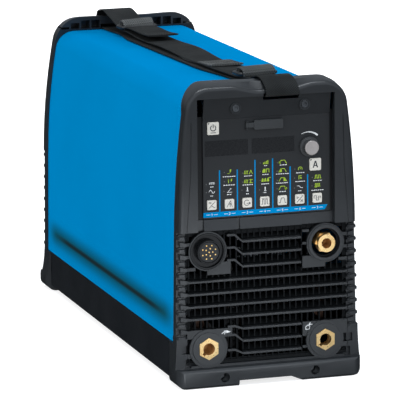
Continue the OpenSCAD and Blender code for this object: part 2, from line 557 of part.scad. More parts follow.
// Gas hose from the valve to the outlet, swept along its route
hose = [[-45, 217.2, 232], [-45, 205, 231.5], [-56, 192, 222], [-78, 176, 200], [-86, 150, 188], [-87, 60, 186], [-87, -60, 186], [-86, -180, 186],
  [-78, -206, 190], [-45, -222, 192], [0, -226, 192], [45, -226, 190], [64, -228, 176], [66.6, -233, 160], [66.6, -240, 151.3], [66.6, -247.8, 150.3]];
function unit(v) = v / norm(v);
module gas_hose() {
  n = len(hose); m = 8; r = 4;
  t = [for (i = [0 : n - 1]) unit(hose[min(i + 1, n - 1)] - hose[max(i - 1, 0)])];
  s = [for (i = [0 : n - 1]) unit(cross(t[i], abs(t[i][2]) > 0.9 ? [1, 0, 0] : [0, 0, 1]))];
  color("#1a1a1c") polyhedron(
    points = [for (i = [0 : n - 1]) let (u = cross(s[i], t[i])) for (k = [0 : m - 1]) hose[i] + r * (cos(360 * k / m) * s[i] + sin(360 * k / m) * u)],
    faces = concat([[for (k = [m - 1 : -1 : 0]) k]], [for (i = [0 : n - 2]) for (k = [0 : m - 1]) let (q = (k + 1) % m) each
      [[i * m + k, i * m + q, (i + 1) * m + q], [i * m + k, (i + 1) * m + q, (i + 1) * m + k]]], [[for (k = [0 : m - 1]) (n - 1) * m + k]]));
}
module torch_busbar() {
  color("#b87333") difference() {
    union() { block(-75, -59, -hl + 34.2, -hl + 37.2, 33, 92); block(-75, -34, -hl + 34.2, -hl + 37.2, 80, 92); block(-46, -34, -hl + 37, -195, 84, 87); }
    rod_y(-socket_x + socket_off, socket_z_low, 5.1, -hl, -200);
  }
}
module work_busbar() {
  color("#b87333") difference() {
    union() { block(59, 75, -hl + 34.2, -hl + 37.2, 33, 95); block(62, 72, -hl + 37, -120, 90, 93); }
    rod_y(socket_x + socket_off, socket_z_low, 5.1, -hl, -200);
  }
}

// ---- carrying strap -------------------------------------------------------
strap_mid = 1.7;            // where the strap crosses the middle of the machine
strap_turn = 2.9;           // it runs a little askew, in degrees
// Height of the upper layer along the machine
function wave(y) = 325.4 + 0.8 * sin(y * 1.1) + 0.7 * sin(y * 2.3 + 40) + 3.2 * ease((-185 - y) / 50) + 1.8 * ease((y - 130) / 60);
function strap_at(y) = strap_mid - y * sin(strap_turn);
// Outline of a band of thickness t about a path
function band(p, t) =
  let (n = len(p), u = [for (i = [0 : n - 1]) let (d = p[min(i + 1, n - 1)] - p[max(i - 1, 0)]) [-d[1], d[0]] / norm(d)])
  concat([for (i = [0 : n - 1]) p[i] + u[i] * t / 2], [for (i = [n - 1 : -1 : 0]) p[i] - u[i] * t / 2]);
strap_path = concat(
  [[100, 321.7], [-250, 321.7], [-hl + 17, 321.8], [-hl + 14.6, 321.7], [-hl + 13.2, 321], [-hl + 12.4, 319.9], [-hl + 11.7, 318.8], [-hl + 10.6, 318], [-hl + 9.4, 317.7],
   [-hl + 5.2, 317.6], [-hl + 3.4, 318], [-hl + 2.6, 319], [-hl + 2.4, 320.6], [-hl + 2.6, 322.4], [-hl + 3.5, 324.4], [-hl + 5.8, 326.7], [-hl + 9.8, 329], [-hl + 15, 331.5],
   [-hl + 21, 333.5], [-hl + 27, 334.4], [-hl + 32, 334.4], [-hl + 38, 333.5], [-hl + 45, 331.6], [-hl + 51, 329.6]],
  [for (y = [-228 : 12 : 192]) [y, wave(y)]],
  [[204, 328.6], [213, 331.2], [223, 334.4], [233, 337.2], [243, 339.6], [251, 341.2], [258, 342], [264, 341.8], [270, 341], [275.5, 339.9], [279.6, 338], [281.8, 335], [282.4, 331], [282.4, 324.6], [281.6, 322.8], [279.8, 321.8], [276, 321.7], [101, 321.7]]);
module strap() {
  color("#26292b") translate([strap_mid, 0, 0]) rotate([0, 0, strap_turn]) along_x(-strap_w / 2, strap_w / 2) polygon(band(strap_path, strap_t));
}
// Two-bar slide buckle lying on the upper layer
module ladder(y, w, l) {
  translate([strap_at(y), y, wave(y) + strap_t / 2 + 1.5]) rotate([0, 0, strap_turn]) difference() {
    translate([-w / 2, -l / 2, 0]) cube([w, l, 4.4]);
    for (s = [-1, 1]) translate([-strap_w / 2 - 1, s * l / 4 - 1.8, -1]) cube([strap_w + 2, 3.6, 9]);
  }
}
module front_buckle() { color("#1d2022") ladder(-200, 48, 24); }
module rear_buckle() { color("#1d2022") ladder(190, 48, 24); }

base_pan();
wrap_cover();
front_bezel();
front_grille();
rear_bezel();
rear_grille();
control_panel();
display_windows();
panel_board();
encoder_body();
encoder_shaft();
encoder_knob();
card_socket();
card_slot_cover();
key_power();
key_amps();
key_1();
key_2();
key_3();
key_4();
key_5();
key_6();
key_7();
remote_shell();
remote_insert();
remote_contacts();
gas_collar();
gas_outlet();
torch_insulator();
torch_socket();
work_insulator();
work_socket();
socket_nuts();
hood_screws();
foot_screws();
cord_gland();
gas_inlet();
divider_plate();
heat_sinks();
board_standoffs();
power_board();
capacitors();
transformer_core();
transformer_winding();
inductor_core();
inductor_winding();
hf_coil();
fan_frame();
fan_rotor();
valve_body();
valve_plunger();
gas_hose();
torch_busbar();
work_busbar();
strap();
front_buckle();
rear_buckle();
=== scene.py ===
"""Looks of a portable inverter welding machine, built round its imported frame.

All coordinates in the tables below are millimetres in the frame of the part:
+X to the right of someone facing the control panel, +Y to the rear, +Z up.
"""
import math

import bmesh
import bpy
from mathutils import Matrix, Vector, noise


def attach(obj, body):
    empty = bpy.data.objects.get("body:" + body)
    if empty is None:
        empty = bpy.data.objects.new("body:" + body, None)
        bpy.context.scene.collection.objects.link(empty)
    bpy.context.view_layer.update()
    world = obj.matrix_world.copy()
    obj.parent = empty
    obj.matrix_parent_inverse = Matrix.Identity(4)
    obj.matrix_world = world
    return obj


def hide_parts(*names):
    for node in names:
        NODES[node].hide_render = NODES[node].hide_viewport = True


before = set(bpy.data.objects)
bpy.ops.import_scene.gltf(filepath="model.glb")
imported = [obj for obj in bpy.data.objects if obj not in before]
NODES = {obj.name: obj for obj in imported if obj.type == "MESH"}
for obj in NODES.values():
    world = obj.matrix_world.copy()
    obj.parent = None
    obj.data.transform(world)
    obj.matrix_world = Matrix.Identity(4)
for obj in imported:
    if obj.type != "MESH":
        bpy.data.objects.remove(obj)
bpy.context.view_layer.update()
scene = bpy.context.scene
MM = 0.001
HL = 284.5

# ---------------------------------------------------------------- camera
cam_data = bpy.data.cameras.new("camera")
cam_data.sensor_fit = "HORIZONTAL"
cam_data.sensor_width = 36.0
cam_data.lens = 298.04
cam_data.clip_end = 200.0
cam = bpy.data.objects.new("camera", cam_data)
scene.collection.objects.link(cam)
cam.matrix_world = Matrix(
    (
        (0.95310968, 0.06683434, -0.29515270, -1.127022),
        (-0.30245529, 0.17770739, -0.93645122, -3.610602),
        (-0.01013628, 0.98181121, 0.18958903, 0.882230),
        (0.0, 0.0, 0.0, 1.0),
    )
)
scene.camera = cam

scene.view_settings.view_transform = "Standard"
scene.view_settings.look = "None"

# ---------------------------------------------------------------- light
world = bpy.data.worlds.new("studio")
scene.world = world
world.use_nodes = True


def sky(tree):
    """Studio surround: a bright wall of light in front, falling off downward and to the rear."""
    def node(kind, **props):
        n = tree.nodes.new(kind)
        for k, v in props.items():
            setattr(n, k, v)
        return n

    def span(value, a, b, c, d):
        n = node("ShaderNodeMapRange", interpolation_type="SMOOTHSTEP")
        tree.links.new(value, n.inputs["Value"])
        for key, v in (("From Min", a), ("From Max", b), ("To Min", c), ("To Max", d)):
            n.inputs[key].default_value = v
        return n.outputs["Result"]

    def math_node(op, a, b):
        n = node("ShaderNodeMath", operation=op)
        for i, v in enumerate((a, b)):
            if isinstance(v, bpy.types.NodeSocket):
                tree.links.new(v, n.inputs[i])
            else:
                n.inputs[i].default_value = v
        return n.outputs[0]

    way = node("ShaderNodeTexCoord")
    part = node("ShaderNodeSeparateXYZ")
    tree.links.new(way.outputs["Generated"], part.inputs[0])
    x, y, z = part.outputs
    ahead = math_node("ADD", math_node("MULTIPLY", y, -0.95), math_node("MULTIPLY", x, -0.15))
    front = math_node("MULTIPLY", span(ahead, -0.05, 0.80, 0.0, 1.0), span(z, -0.50, 0.25, 0.05, 1.0))
    total = math_node("ADD", math_node("MULTIPLY", front, FRONT_WALL), span(z, -0.12, 0.40, 0.03, 0.38))
    back = tree.nodes["Background"]
    back.inputs["Color"].default_value = (0.90, 0.985, 1.09, 1.0)
    tree.links.new(total, back.inputs["Strength"])


FRONT_WALL = 0.80
sky(world.node_tree)


def softbox(name, at, aim, size, watts, tint=(1.0, 1.0, 1.0), shine=True, spread=180.0):
    d = bpy.data.lights.new(name, "AREA")
    d.shape = "RECTANGLE"
    d.size, d.size_y = size
    d.energy = watts
    d.spread = math.radians(spread)
    d.color = tint
    o = bpy.data.objects.new(name, d)
    scene.collection.objects.link(o)
    o.location = at
    o.rotation_euler = (Vector(aim) - Vector(at)).to_track_quat("-Z", "Y").to_euler()
    o.visible_camera = False
    o.visible_glossy = shine
    return o


softbox("key", (-3.3, -0.5, 1.7), (0, 0, 0.15), (2.0, 1.6), 70, (1.0, 0.99, 0.94), shine=False)
softbox("overhead", (-0.12, -0.5, 2.6), (0, -0.1, 0.2), (1.9, 0.8), 37, (0.94, 0.99, 1.05))
softbox("front_card", (-0.04, -0.62, 0.07), (-0.03, -0.28, 0.04), (0.40, 0.14), 0.165, (0.93, 0.99, 1.06), spread=84.0)
softbox("right_fill", (3.0, 0.2, 1.6), (0, 0, 0.15), (1.8, 1.6), 70, shine=False)
softbox("back_fill", (0.8, 3.2, 1.7), (0, 0, 0.15), (1.8, 1.6), 80, shine=False)


# ---------------------------------------------------------------- materials
class Mat:
    """One material's node tree, with short names for the nodes used here."""

    def __init__(self, name):
        self.m = bpy.data.materials.new(name)
        self.m.use_nodes = True
        self.t = self.m.node_tree
        self.b = self.t.nodes["Principled BSDF"]
        self._coord = None

    def node(self, kind, **props):
        n = self.t.nodes.new(kind)
        for k, v in props.items():
            setattr(n, k, v)
        return n

    def link(self, a, b):
        self.t.links.new(a, b)

    def put(self, socket, value):
        if isinstance(value, bpy.types.NodeSocket):
            self.link(value, socket)
        elif isinstance(value, tuple) and len(value) == 3 and socket.type == "RGBA":
            socket.default_value = (*value, 1.0)
        else:
            socket.default_value = value

    def coord(self, which="Object"):
        if self._coord is None:
            self._coord = self.node("ShaderNodeTexCoord")
        return self._coord.outputs[which]

    def axis(self, which, source="Object"):
        s = self.node("ShaderNodeSeparateXYZ")
        self.link(self.coord(source), s.inputs[0])
        return s.outputs["XYZ".index(which)]

    def noise(self, scale, detail=2.0, rough=0.5, distort=0.0, stretch=None):
        n = self.node("ShaderNodeTexNoise")
        n.inputs["Scale"].default_value = scale
        n.inputs["Detail"].default_value = detail
        n.inputs["Roughness"].default_value = rough
        n.inputs["Distortion"].default_value = distort
        v = self.coord()
        if stretch:
            mp = self.node("ShaderNodeMapping")
            mp.inputs["Scale"].default_value = stretch
            self.link(v, mp.inputs["Vector"])
            v = mp.outputs["Vector"]
        self.link(v, n.inputs["Vector"])
        return n.outputs["Fac"]

    def spots(self, scale, feature="F1"):
        n = self.node("ShaderNodeTexVoronoi", feature=feature)
        n.inputs["Scale"].default_value = scale
        self.link(self.coord(), n.inputs["Vector"])
        return n.outputs["Distance"]

    def ramp(self, fac, *stops):
        n = self.node("ShaderNodeValToRGB")
        e = n.color_ramp.elements
        while len(e) < len(stops):
            e.new(0.5)
        for el, (p, c) in zip(e, stops):
            el.position = p
            el.color = (*c, 1.0)
        self.link(fac, n.inputs["Fac"])
        return n.outputs["Color"]

    def span(self, value, a, b, c, d, kind="LINEAR"):
        n = self.node("ShaderNodeMapRange", interpolation_type=kind)
        self.put(n.inputs["Value"], value)
        for name, v in (("From Min", a), ("From Max", b), ("To Min", c), ("To Max", d)):
            n.inputs[name].default_value = v
        return n.outputs["Result"]

    def math(self, op, a, b=None, c=None):
        n = self.node("ShaderNodeMath", operation=op)
        for i, v in enumerate((a, b, c)):
            if v is not None:
                self.put(n.inputs[i], v)
        return n.outputs[0]

    def mix(self, fac, a, b, kind="MIX"):
        n = self.node("ShaderNodeMix", data_type="RGBA", blend_type=kind)
        self.put(n.inputs[0], fac)
        self.put(n.inputs[6], a)
        self.put(n.inputs[7], b)
        return n.outputs[2]

    def bump(self, height, strength, distance, normal=None):
        n = self.node("ShaderNodeBump")
        n.inputs["Strength"].default_value = strength
        n.inputs["Distance"].default_value = distance
        self.link(height, n.inputs["Height"])
        if normal is not None:
            self.link(normal, n.inputs["Normal"])
        return n.outputs["Normal"]

    def set(self, **values):
        names = dict(color="Base Color", metal="Metallic", rough="Roughness", normal="Normal", spec="Specular IOR Level",
                     coat="Coat Weight", coat_rough="Coat Roughness", sheen="Sheen Weight", sheen_rough="Sheen Roughness",
                     ior="IOR", emit="Emission Color", emit_power="Emission Strength", aniso="Anisotropic",
                     transmission="Transmission Weight")
        for k, v in values.items():
            self.put(self.b.inputs[names[k]], v)
        return self


def moulded(name, low, high, rough=(0.42, 0.58), grain=1300.0, relief=0.00005, mottle=26.0, spec=0.45, fade=None):
    """Injection-moulded plastic: fine spark-eroded grain, slow drift in tone and gloss.
    fade = (axis, start, end, amount[, dullness]) paints shade into recesses: tone darkens and shine is dulled with
    depth along the axis."""
    m = Mat(name)
    slow = m.noise(mottle, 3.0, 0.55)
    fine = m.noise(grain, 2.0, 0.6)
    tone = m.ramp(slow, (0.32, low), (0.68, high))
    tone = m.mix(m.span(fine, 0.3, 0.7, 0.0, 0.35), tone, tuple(c * 0.72 for c in high))
    shade_dulling = None
    if fade:
        # painted shade: with depth the tone sinks towards near-black, and with a dullness the shine is dulled too
        depth = m.axis(fade[0])
        tone = m.mix(m.span(depth, fade[1], fade[2], 0.0, fade[3], "SMOOTHSTEP"), tone, tuple(c * 0.12 for c in low))
        if len(fade) > 4:
            shade_dulling = m.span(depth, fade[1], fade[2], 0.0, fade[4], "SMOOTHSTEP")
    gloss = m.math("ADD", m.span(slow, 0.3, 0.7, rough[0], rough[1]), m.span(fine, 0.2, 0.8, -0.04, 0.04))
    m.set(color=tone, rough=gloss, spec=spec, normal=m.bump(fine, 0.35, relief, m.bump(slow, 0.05, 0.0004)))
    if shade_dulling is not None:
        m.set(metal=shade_dulling)
    return m.m


def metal(name, low, high, rough=(0.2, 0.34), scale=240.0, stretch=None, relief=0.00002, tarnish=None, bore=None):
    """Machined or drawn metal with tool marks and slight tarnish. bore = (start, end, tone) paints shade into the bore:
    the tone browns and darkens with depth behind the front, and the metal turns partly dull.
    """
    m = Mat(name)
    fine = m.noise(scale, 3.0, 0.6, stretch=stretch)
    slow = m.noise(60.0, 3.0, 0.5)
    tone = m.ramp(slow, (0.3, low), (0.7, high))
    if tarnish:
        tone = m.mix(m.span(m.noise(130.0, 4.0, 0.65), 0.52, 0.74, 0.0, 0.6), tone, tarnish)
    if bore:
        # painted shade: darker brown deeper in the bore
        bore_shade = m.span(m.axis("Y"), bore[0], bore[1], 0.0, 1.0, "SMOOTHSTEP")
        tone = m.mix(bore_shade, tone, bore[2])
        m.set(metal=m.span(bore_shade, 0.0, 1.0, 1.0, 0.35))
    else:
        m.set(metal=1.0)
    m.set(color=tone, rough=m.span(fine, 0.3, 0.7, *rough), normal=m.bump(fine, 0.3, relief))
    return m.m


def cover_paint():
    """Powder-coated sheet: blue with orange peel, and a dark band low down that fades out all round."""
    m = Mat("cover_paint")
    slow = m.noise(5.0, 2.0, 0.5)
    peel = m.noise(620.0, 2.0, 0.5)
    blue = m.ramp(slow, (0.3, (0.0, 0.141, 0.330)), (0.7, (0.0, 0.152, 0.356)))
    fleck = m.span(m.noise(1800.0, 1.0), 0.62, 0.8, 0.0, 0.16)
    blue = m.mix(fleck, blue, (0.0, 0.092, 0.24))
    away = m.math("ABSOLUTE", m.math("SUBTRACT", m.axis("Z"), 0.0740))
    ends = m.span(m.math("ABSOLUTE", m.axis("Y")), 0.222, 0.276, 1.0, 0.0, "SMOOTHSTEP")
    inner = m.span(m.math("ABSOLUTE", m.axis("Y")), 0.165, 0.245, 1.0, 0.0, "SMOOTHSTEP")
    grit = m.math("MULTIPLY", ends, m.span(m.noise(1500.0, 2.0), 0.3, 0.7, 0.84, 1.0))
    halo = m.math("MULTIPLY", grit, m.span(away, 0.0, 0.0215, 0.98, 0.0, "SMOOTHSTEP"))
    core = m.math("MULTIPLY", m.math("MULTIPLY", grit, inner), m.span(away, 0.0006, 0.0048, 1.0, 0.0, "SMOOTHSTEP"))
    tone = m.mix(halo, blue, (0.003, 0.040, 0.048))
    tone = m.mix(core, tone, (0.007, 0.012, 0.013))
    m.set(color=tone, rough=m.span(peel, 0.3, 0.7, 0.50, 0.60), spec=0.0, normal=m.bump(peel, 0.22, 0.00007))
    return m.m


def webbing(name, low, high, rib=0.0017, column=0.0021, sheen=0.0, spec=0.1):
    """Woven polyester strap: weft ribs across, warp columns along, from the piece's own flat coordinates."""
    m = Mat(name)
    u, v = m.axis("X", "UV"), m.axis("Y", "UV")
    cu = m.math("SINE", m.math("MULTIPLY", u, 2 * math.pi / column))
    half = m.math("MULTIPLY", m.math("SIGN", cu), math.pi / 2)
    rv = m.math("SINE", m.math("ADD", m.math("MULTIPLY", v, 2 * math.pi / rib), half))
    weave = m.math("ADD", m.math("MULTIPLY", rv, 0.70), m.math("MULTIPLY", m.math("ABSOLUTE", cu), 0.30))
    fuzz = m.noise(2600.0, 2.0, 0.6)
    slow = m.noise(40.0, 3.0, 0.55)
    # painted shade: the weave's hollows are coloured darker than its crowns
    tone = m.ramp(m.span(weave, -0.6, 1.0, 0.0, 1.0), (0.0, low), (1.0, high))
    tone = m.mix(m.span(slow, 0.35, 0.7, 0.0, 0.4), tone, tuple(c * 0.55 for c in low))
    tone = m.mix(m.span(fuzz, 0.55, 0.8, 0.0, 0.35), tone, tuple(min(1.0, c * 1.7) for c in high))
    m.set(color=tone, rough=m.span(fuzz, 0.3, 0.7, 0.72, 0.90), spec=spec, sheen=sheen, sheen_rough=0.45,
          normal=m.bump(m.math("ADD", weave, m.math("MULTIPLY", fuzz, 0.35)), 0.75, 0.00022))
    return m.m


def ink(name, low, high, rough=0.5, spec=0.35):
    """Screen-printed ink with slight mottling."""
    m = Mat(name)
    n = m.noise(900.0, 3.0, 0.6)
    m.set(color=m.ramp(n, (0.3, low), (0.7, high)), rough=m.span(n, 0.3, 0.7, rough - 0.06, rough + 0.06), spec=spec,
          normal=m.bump(n, 0.2, 0.00002))
    return m.m


def winding(name, low, high, pitch, axis, metalness):
    """Turns of wire side by side along an axis."""
    m = Mat(name)
    turn = m.math("SINE", m.math("MULTIPLY", m.axis(axis), 2 * math.pi / pitch))
    slow = m.noise(90.0, 3.0, 0.5)
    # painted shade: the grooves between turns are coloured darker
    tone = m.mix(m.span(turn, -1.0, 0.2, 0.75, 0.0), m.ramp(slow, (0.3, low), (0.7, high)), tuple(c * 0.18 for c in low))
    m.set(color=tone, metal=metalness, rough=m.span(slow, 0.3, 0.7, 0.3, 0.45), normal=m.bump(turn, 0.8, pitch * 0.4))
    return m.m


def circuit_board():
    m = Mat("circuit_board")
    weave = m.noise(700.0, 2.0)
    trace = m.spots(160.0, "DISTANCE_TO_EDGE")
    tone = m.ramp(weave, (0.3, (0.010, 0.075, 0.030)), (0.7, (0.016, 0.110, 0.045)))
    tone = m.mix(m.span(trace, 0.0, 0.06, 0.55, 0.0), tone, (0.03, 0.17, 0.07))
    m.set(color=tone, rough=m.span(weave, 0.3, 0.7, 0.3, 0.45), normal=m.bump(trace, 0.3, 0.00005))
    return m.m


def laminated(name, pitch, axis):
    """Stacked iron laminations."""
    m = Mat(name)
    leaf = m.math("SINE", m.math("MULTIPLY", m.axis(axis), 2 * math.pi / pitch))
    slow = m.noise(70.0, 4.0, 0.6)
    m.set(color=m.ramp(slow, (0.3, (0.03, 0.03, 0.033)), (0.7, (0.065, 0.062, 0.06))), metal=0.4,
          rough=m.span(slow, 0.3, 0.7, 0.5, 0.7), normal=m.bump(leaf, 0.5, 0.0002))
    return m.m


MATS = {
    "cover": cover_paint(),
    "bezel": moulded("bezel_plastic", (0.0098, 0.0114, 0.0132), (0.0124, 0.0142, 0.0162), rough=(0.29, 0.38), spec=0.5),
    # grille plastic: fade paints shade deeper in the slots, darker and duller
    "grille": moulded("grille_plastic", (0.0105, 0.0122, 0.0138), (0.0135, 0.0154, 0.0172), rough=(0.42, 0.54), spec=0.52,
                      fade=("Y", -0.2752, -0.2718, 0.66, 0.84)),
    "rear_grille": moulded("rear_grille_plastic", (0.0105, 0.0122, 0.0138), (0.0135, 0.0154, 0.0172), rough=(0.42, 0.54), spec=0.4),
    "pan": moulded("pan_powder_coat", (0.0064, 0.0078, 0.0098), (0.0082, 0.0097, 0.0120), rough=(0.58, 0.70), grain=900.0, relief=0.00006, spec=0.12),
    # panel film: fade paints shade on the parts lying deeper than its face
    "panel": moulded("panel_film", (0.0118, 0.0130, 0.0145), (0.0140, 0.0154, 0.0170), rough=(0.46, 0.54), grain=2200.0, relief=0.00002, mottle=16.0, spec=0.34,
                     fade=("Y", -0.2722, -0.2706, 0.9)),
    "window": moulded("window_smoke", (0.0078, 0.0084, 0.0094), (0.0088, 0.0095, 0.0105), rough=(0.26, 0.30), grain=600.0, relief=0.000002, mottle=10.0, spec=0.26),
    "key": moulded("key_cap", (0.515, 0.490, 0.440), (0.575, 0.550, 0.495), rough=(0.44, 0.54), grain=1800.0, relief=0.00003, mottle=60.0, spec=0.4),
    "knob_dark": moulded("knob_rubber", (0.0260, 0.0272, 0.0286), (0.0330, 0.0346, 0.0362), rough=(0.46, 0.6), grain=1500.0, spec=0.5),
    "knob_cap": moulded("knob_cap_grey", (0.252, 0.232, 0.224), (0.299, 0.275, 0.265), rough=(0.38, 0.48), grain=1600.0, relief=0.00002, mottle=90.0, spec=0.45),
    "rubber": moulded("cover_rubber", (0.0230, 0.0255, 0.0275), (0.0310, 0.0340, 0.0360), rough=(0.60, 0.72), grain=1500.0, relief=0.00006, spec=0.4),
    "gloss": moulded("shell_gloss_black", (0.0042, 0.0047, 0.0054), (0.0062, 0.0068, 0.0076), rough=(0.14, 0.22), grain=500.0, relief=0.00001, spec=0.14),
    "insulator": moulded("insulator_plastic", (0.0120, 0.0136, 0.0152), (0.0150, 0.0168, 0.0186), rough=(0.38, 0.48), grain=1200.0, spec=0.55),
    "insert": moulded("insert_phenolic", (0.0080, 0.0088, 0.0096), (0.0115, 0.0124, 0.0134), rough=(0.4, 0.5), grain=1500.0, spec=0.36),
    "screw": metal("screw_black_zinc", (0.085, 0.089, 0.094), (0.145, 0.151, 0.158), rough=(0.24, 0.36), scale=900.0),
    "steel": metal("steel_zinc", (0.44, 0.46, 0.48), (0.56, 0.58, 0.60), rough=(0.28, 0.42), scale=500.0),
    "gold": metal("contact_gold", (0.60, 0.37, 0.12), (0.74, 0.50, 0.20), rough=(0.24, 0.36), scale=1200.0),
    "brass": metal("brass_machined", (0.92, 0.63, 0.27), (1.0, 0.78, 0.42), rough=(0.16, 0.28), scale=420.0, stretch=(1.0, 6.0, 1.0), relief=0.00003, tarnish=(0.74, 0.42, 0.13)),
    # bore: painted shade darkening the socket bores with depth
    "socket_brass": metal("brass_socket", (1.0, 0.64, 0.26), (1.0, 0.73, 0.36), rough=(0.26, 0.36), scale=420.0, stretch=(1.0, 6.0, 1.0), relief=0.00002, tarnish=(0.97, 0.57, 0.21),
                          bore=(-0.2790, -0.2680, (0.40, 0.19, 0.05))),
    "aluminium": metal("sink_aluminium", (0.60, 0.61, 0.62), (0.72, 0.73, 0.74), rough=(0.3, 0.46), scale=500.0, stretch=(1.0, 0.15, 1.0)),
    "copper": metal("busbar_dark_copper", (0.050, 0.030, 0.022), (0.085, 0.048, 0.034), rough=(0.42, 0.58), scale=400.0, tarnish=(0.022, 0.014, 0.011)),
    "coil_copper": winding("coil_varnished", (0.020, 0.009, 0.005), (0.034, 0.015, 0.008), 0.0016, "Z", 0.0),
    "coil_hf": winding("coil_hf_varnished", (0.020, 0.009, 0.005), (0.034, 0.015, 0.008), 0.0020, "Y", 0.0),
    "iron": laminated("core_laminations", 0.0011, "Y"),
    "board": circuit_board(),
    "sleeve": moulded("capacitor_sleeve", (0.010, 0.016, 0.060), (0.016, 0.024, 0.085), rough=(0.3, 0.42), grain=900.0, relief=0.00001, spec=0.5),
    "dark": moulded("socket_nylon", (0.012, 0.013, 0.014), (0.018, 0.019, 0.020), rough=(0.4, 0.52), grain=1200.0),
    "hose": moulded("hose_rubber", (0.014, 0.015, 0.016), (0.022, 0.023, 0.024), rough=(0.5, 0.64), grain=900.0),
    "buckle": moulded("buckle_acetal", (0.0060, 0.0068, 0.0076), (0.0090, 0.0100, 0.0110), rough=(0.34, 0.46), grain=1200.0, relief=0.00003, spec=0.5),
    "web": webbing("strap_webbing", (0.0052, 0.0060, 0.0064), (0.0290, 0.0310, 0.0314), rib=0.0025, column=0.0030, spec=0.06),
    # painted light: a much lighter copy of the strap webbing, for the rolls and the flap that catch the light
    "web_painted_lit": webbing("strap_webbing_painted_lit", (0.0110, 0.0122, 0.0126), (0.1150, 0.1205, 0.1190), rib=0.0030, column=0.0030, spec=0.2),
    "thread": moulded("stitch_thread", (0.018, 0.020, 0.020), (0.036, 0.038, 0.038), rough=(0.6, 0.75), grain=3000.0, relief=0.00006, spec=0.3),
    "white": ink("ink_white", (0.54, 0.55, 0.55), (0.66, 0.67, 0.67)),
    "green": ink("ink_green", (0.23, 0.34, 0.012), (0.29, 0.42, 0.016)),
    "blue": ink("ink_blue", (0.0, 0.164, 0.385), (0.0, 0.186, 0.430), 0.5, 0.0),
    "icon": ink("ink_dark", (0.020, 0.024, 0.030), (0.034, 0.040, 0.048)),
    "led": moulded("led_lens", (0.055, 0.058, 0.060), (0.080, 0.083, 0.085), rough=(0.25, 0.35), grain=800.0, spec=0.5),
}


# ---------------------------------------------------------------- CAD nodes
def dress(name, mat, bevel=0.0, segments=2, angle=33.0, dissolve=0.6):
    """Finish on a CAD node: material, softened edges and clean shading, with the mesh itself left alone."""
    o = NODES[name]
    o.data.materials.clear()
    o.data.materials.append(MATS[mat])
    o.data.polygons.foreach_set("use_smooth", [True] * len(o.data.polygons))
    w = o.modifiers.new("weld", "WELD")
    w.merge_threshold = 1e-5
    if bevel:
        d = o.modifiers.new("flats", "DECIMATE")
        d.decimate_type = "DISSOLVE"
        d.angle_limit = math.radians(dissolve)
        b = o.modifiers.new("edges", "BEVEL")
        b.width = bevel * MM
        b.segments = segments
        b.limit_method = "ANGLE"
        b.angle_limit = math.radians(angle)
        b.miter_outer = "MITER_ARC"
        b.use_clamp_overlap = True
    else:
        s = o.modifiers.new("split", "EDGE_SPLIT")
        s.split_angle = math.radians(angle)
    n = o.modifiers.new("normals", "WEIGHTED_NORMAL")
    n.mode = "FACE_AREA"
    n.weight = 80
    n.keep_sharp = False
    return o


FINISH = [
    ("base_pan", "pan", 0.5), ("wrap_cover", "cover", 0.35), ("front_bezel", "bezel", 0.7), ("front_grille", "grille", 0.3),
    ("rear_bezel", "bezel", 0.7), ("rear_grille", "rear_grille", 0.3), ("control_panel", "panel", 0.2), ("display_windows", "window", 0.15),
    ("panel_board", "board", 0.1), ("encoder_body", "steel", 0.2), ("encoder_shaft", "steel", 0.15), ("card_socket", "dark", 0.2),
    ("card_slot_cover", "rubber", 0.7), ("key_power", "key", 0.35), ("key_amps", "key", 0.35),
    ("remote_shell", "gloss", 0.4), ("remote_insert", "insert", 0.2), ("remote_contacts", "gold", 0.12),
    ("gas_collar", "insulator", 0.4), ("gas_outlet", "socket_brass", 0.4), ("torch_insulator", "insulator", 0.5), ("torch_socket", "socket_brass", 0.45),
    ("work_insulator", "insulator", 0.5), ("work_socket", "socket_brass", 0.45), ("socket_nuts", "brass", 0.3), ("hood_screws", "screw", 0.3),
    ("foot_screws", "screw", 0.3), ("cord_gland", "dark", 0.4), ("gas_inlet", "brass", 0.3), ("divider_plate", "steel", 0.2),
    ("heat_sinks", "aluminium", 0.15), ("board_standoffs", "steel", 0.15), ("power_board", "board", 0.1), ("capacitors", "sleeve", 0.5),
    ("transformer_core", "iron", 0.3), ("transformer_winding", "coil_copper", 0.8), ("inductor_core", "iron", 0.3),
    ("inductor_winding", "coil_copper", 0.8), ("hf_coil", "coil_hf", 0.6), ("fan_frame", "dark", 0.3), ("fan_rotor", "dark", 0.15),
    ("valve_body", "brass", 0.3), ("valve_plunger", "steel", 0.15), ("gas_hose", "hose", 0.0), ("torch_busbar", "copper", 0.25), ("work_busbar", "copper", 0.25),
] + [(f"key_{i}", "key", 0.35) for i in range(1, 8)]
for node_name, mat_name, bevel_mm in FINISH:
    dress(node_name, mat_name, bevel_mm)


# ---------------------------------------------------------------- mesh helpers
def piece(name, bm, mats, body="case", smooth_angle=35.0):
    """Turns a bmesh in metres into a piece that rides on a body."""
    bmesh.ops.recalc_face_normals(bm, faces=bm.faces)
    me = bpy.data.meshes.new(name)
    bm.to_mesh(me)
    bm.free()
    for m in mats:
        me.materials.append(MATS[m])
    if smooth_angle:
        me.polygons.foreach_set("use_smooth", [True] * len(me.polygons))
        me.set_sharp_from_angle(angle=math.radians(smooth_angle))
    o = bpy.data.objects.new(name, me)
    scene.collection.objects.link(o)
    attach(o, body)
    return o


def ring_skin(bm, rings, closed=False, cap=True, mat=0):
    """Skins equal rings of BMVerts, each a closed section."""
    n = len(rings[0])
    pairs = list(zip(rings, rings[1:])) + ([(rings[-1], rings[0])] if closed else [])
    out = []
    for a, b in pairs:
        for j in range(n):
            k = (j + 1) % n
            f = bm.faces.new((a[j], a[k], b[k], b[j]))
            f.material_index = mat
            out.append(f)
    if cap and not closed:
        for r in (rings[0][::-1], rings[-1]):
            f = bm.faces.new(r)
            f.material_index = mat
    return out


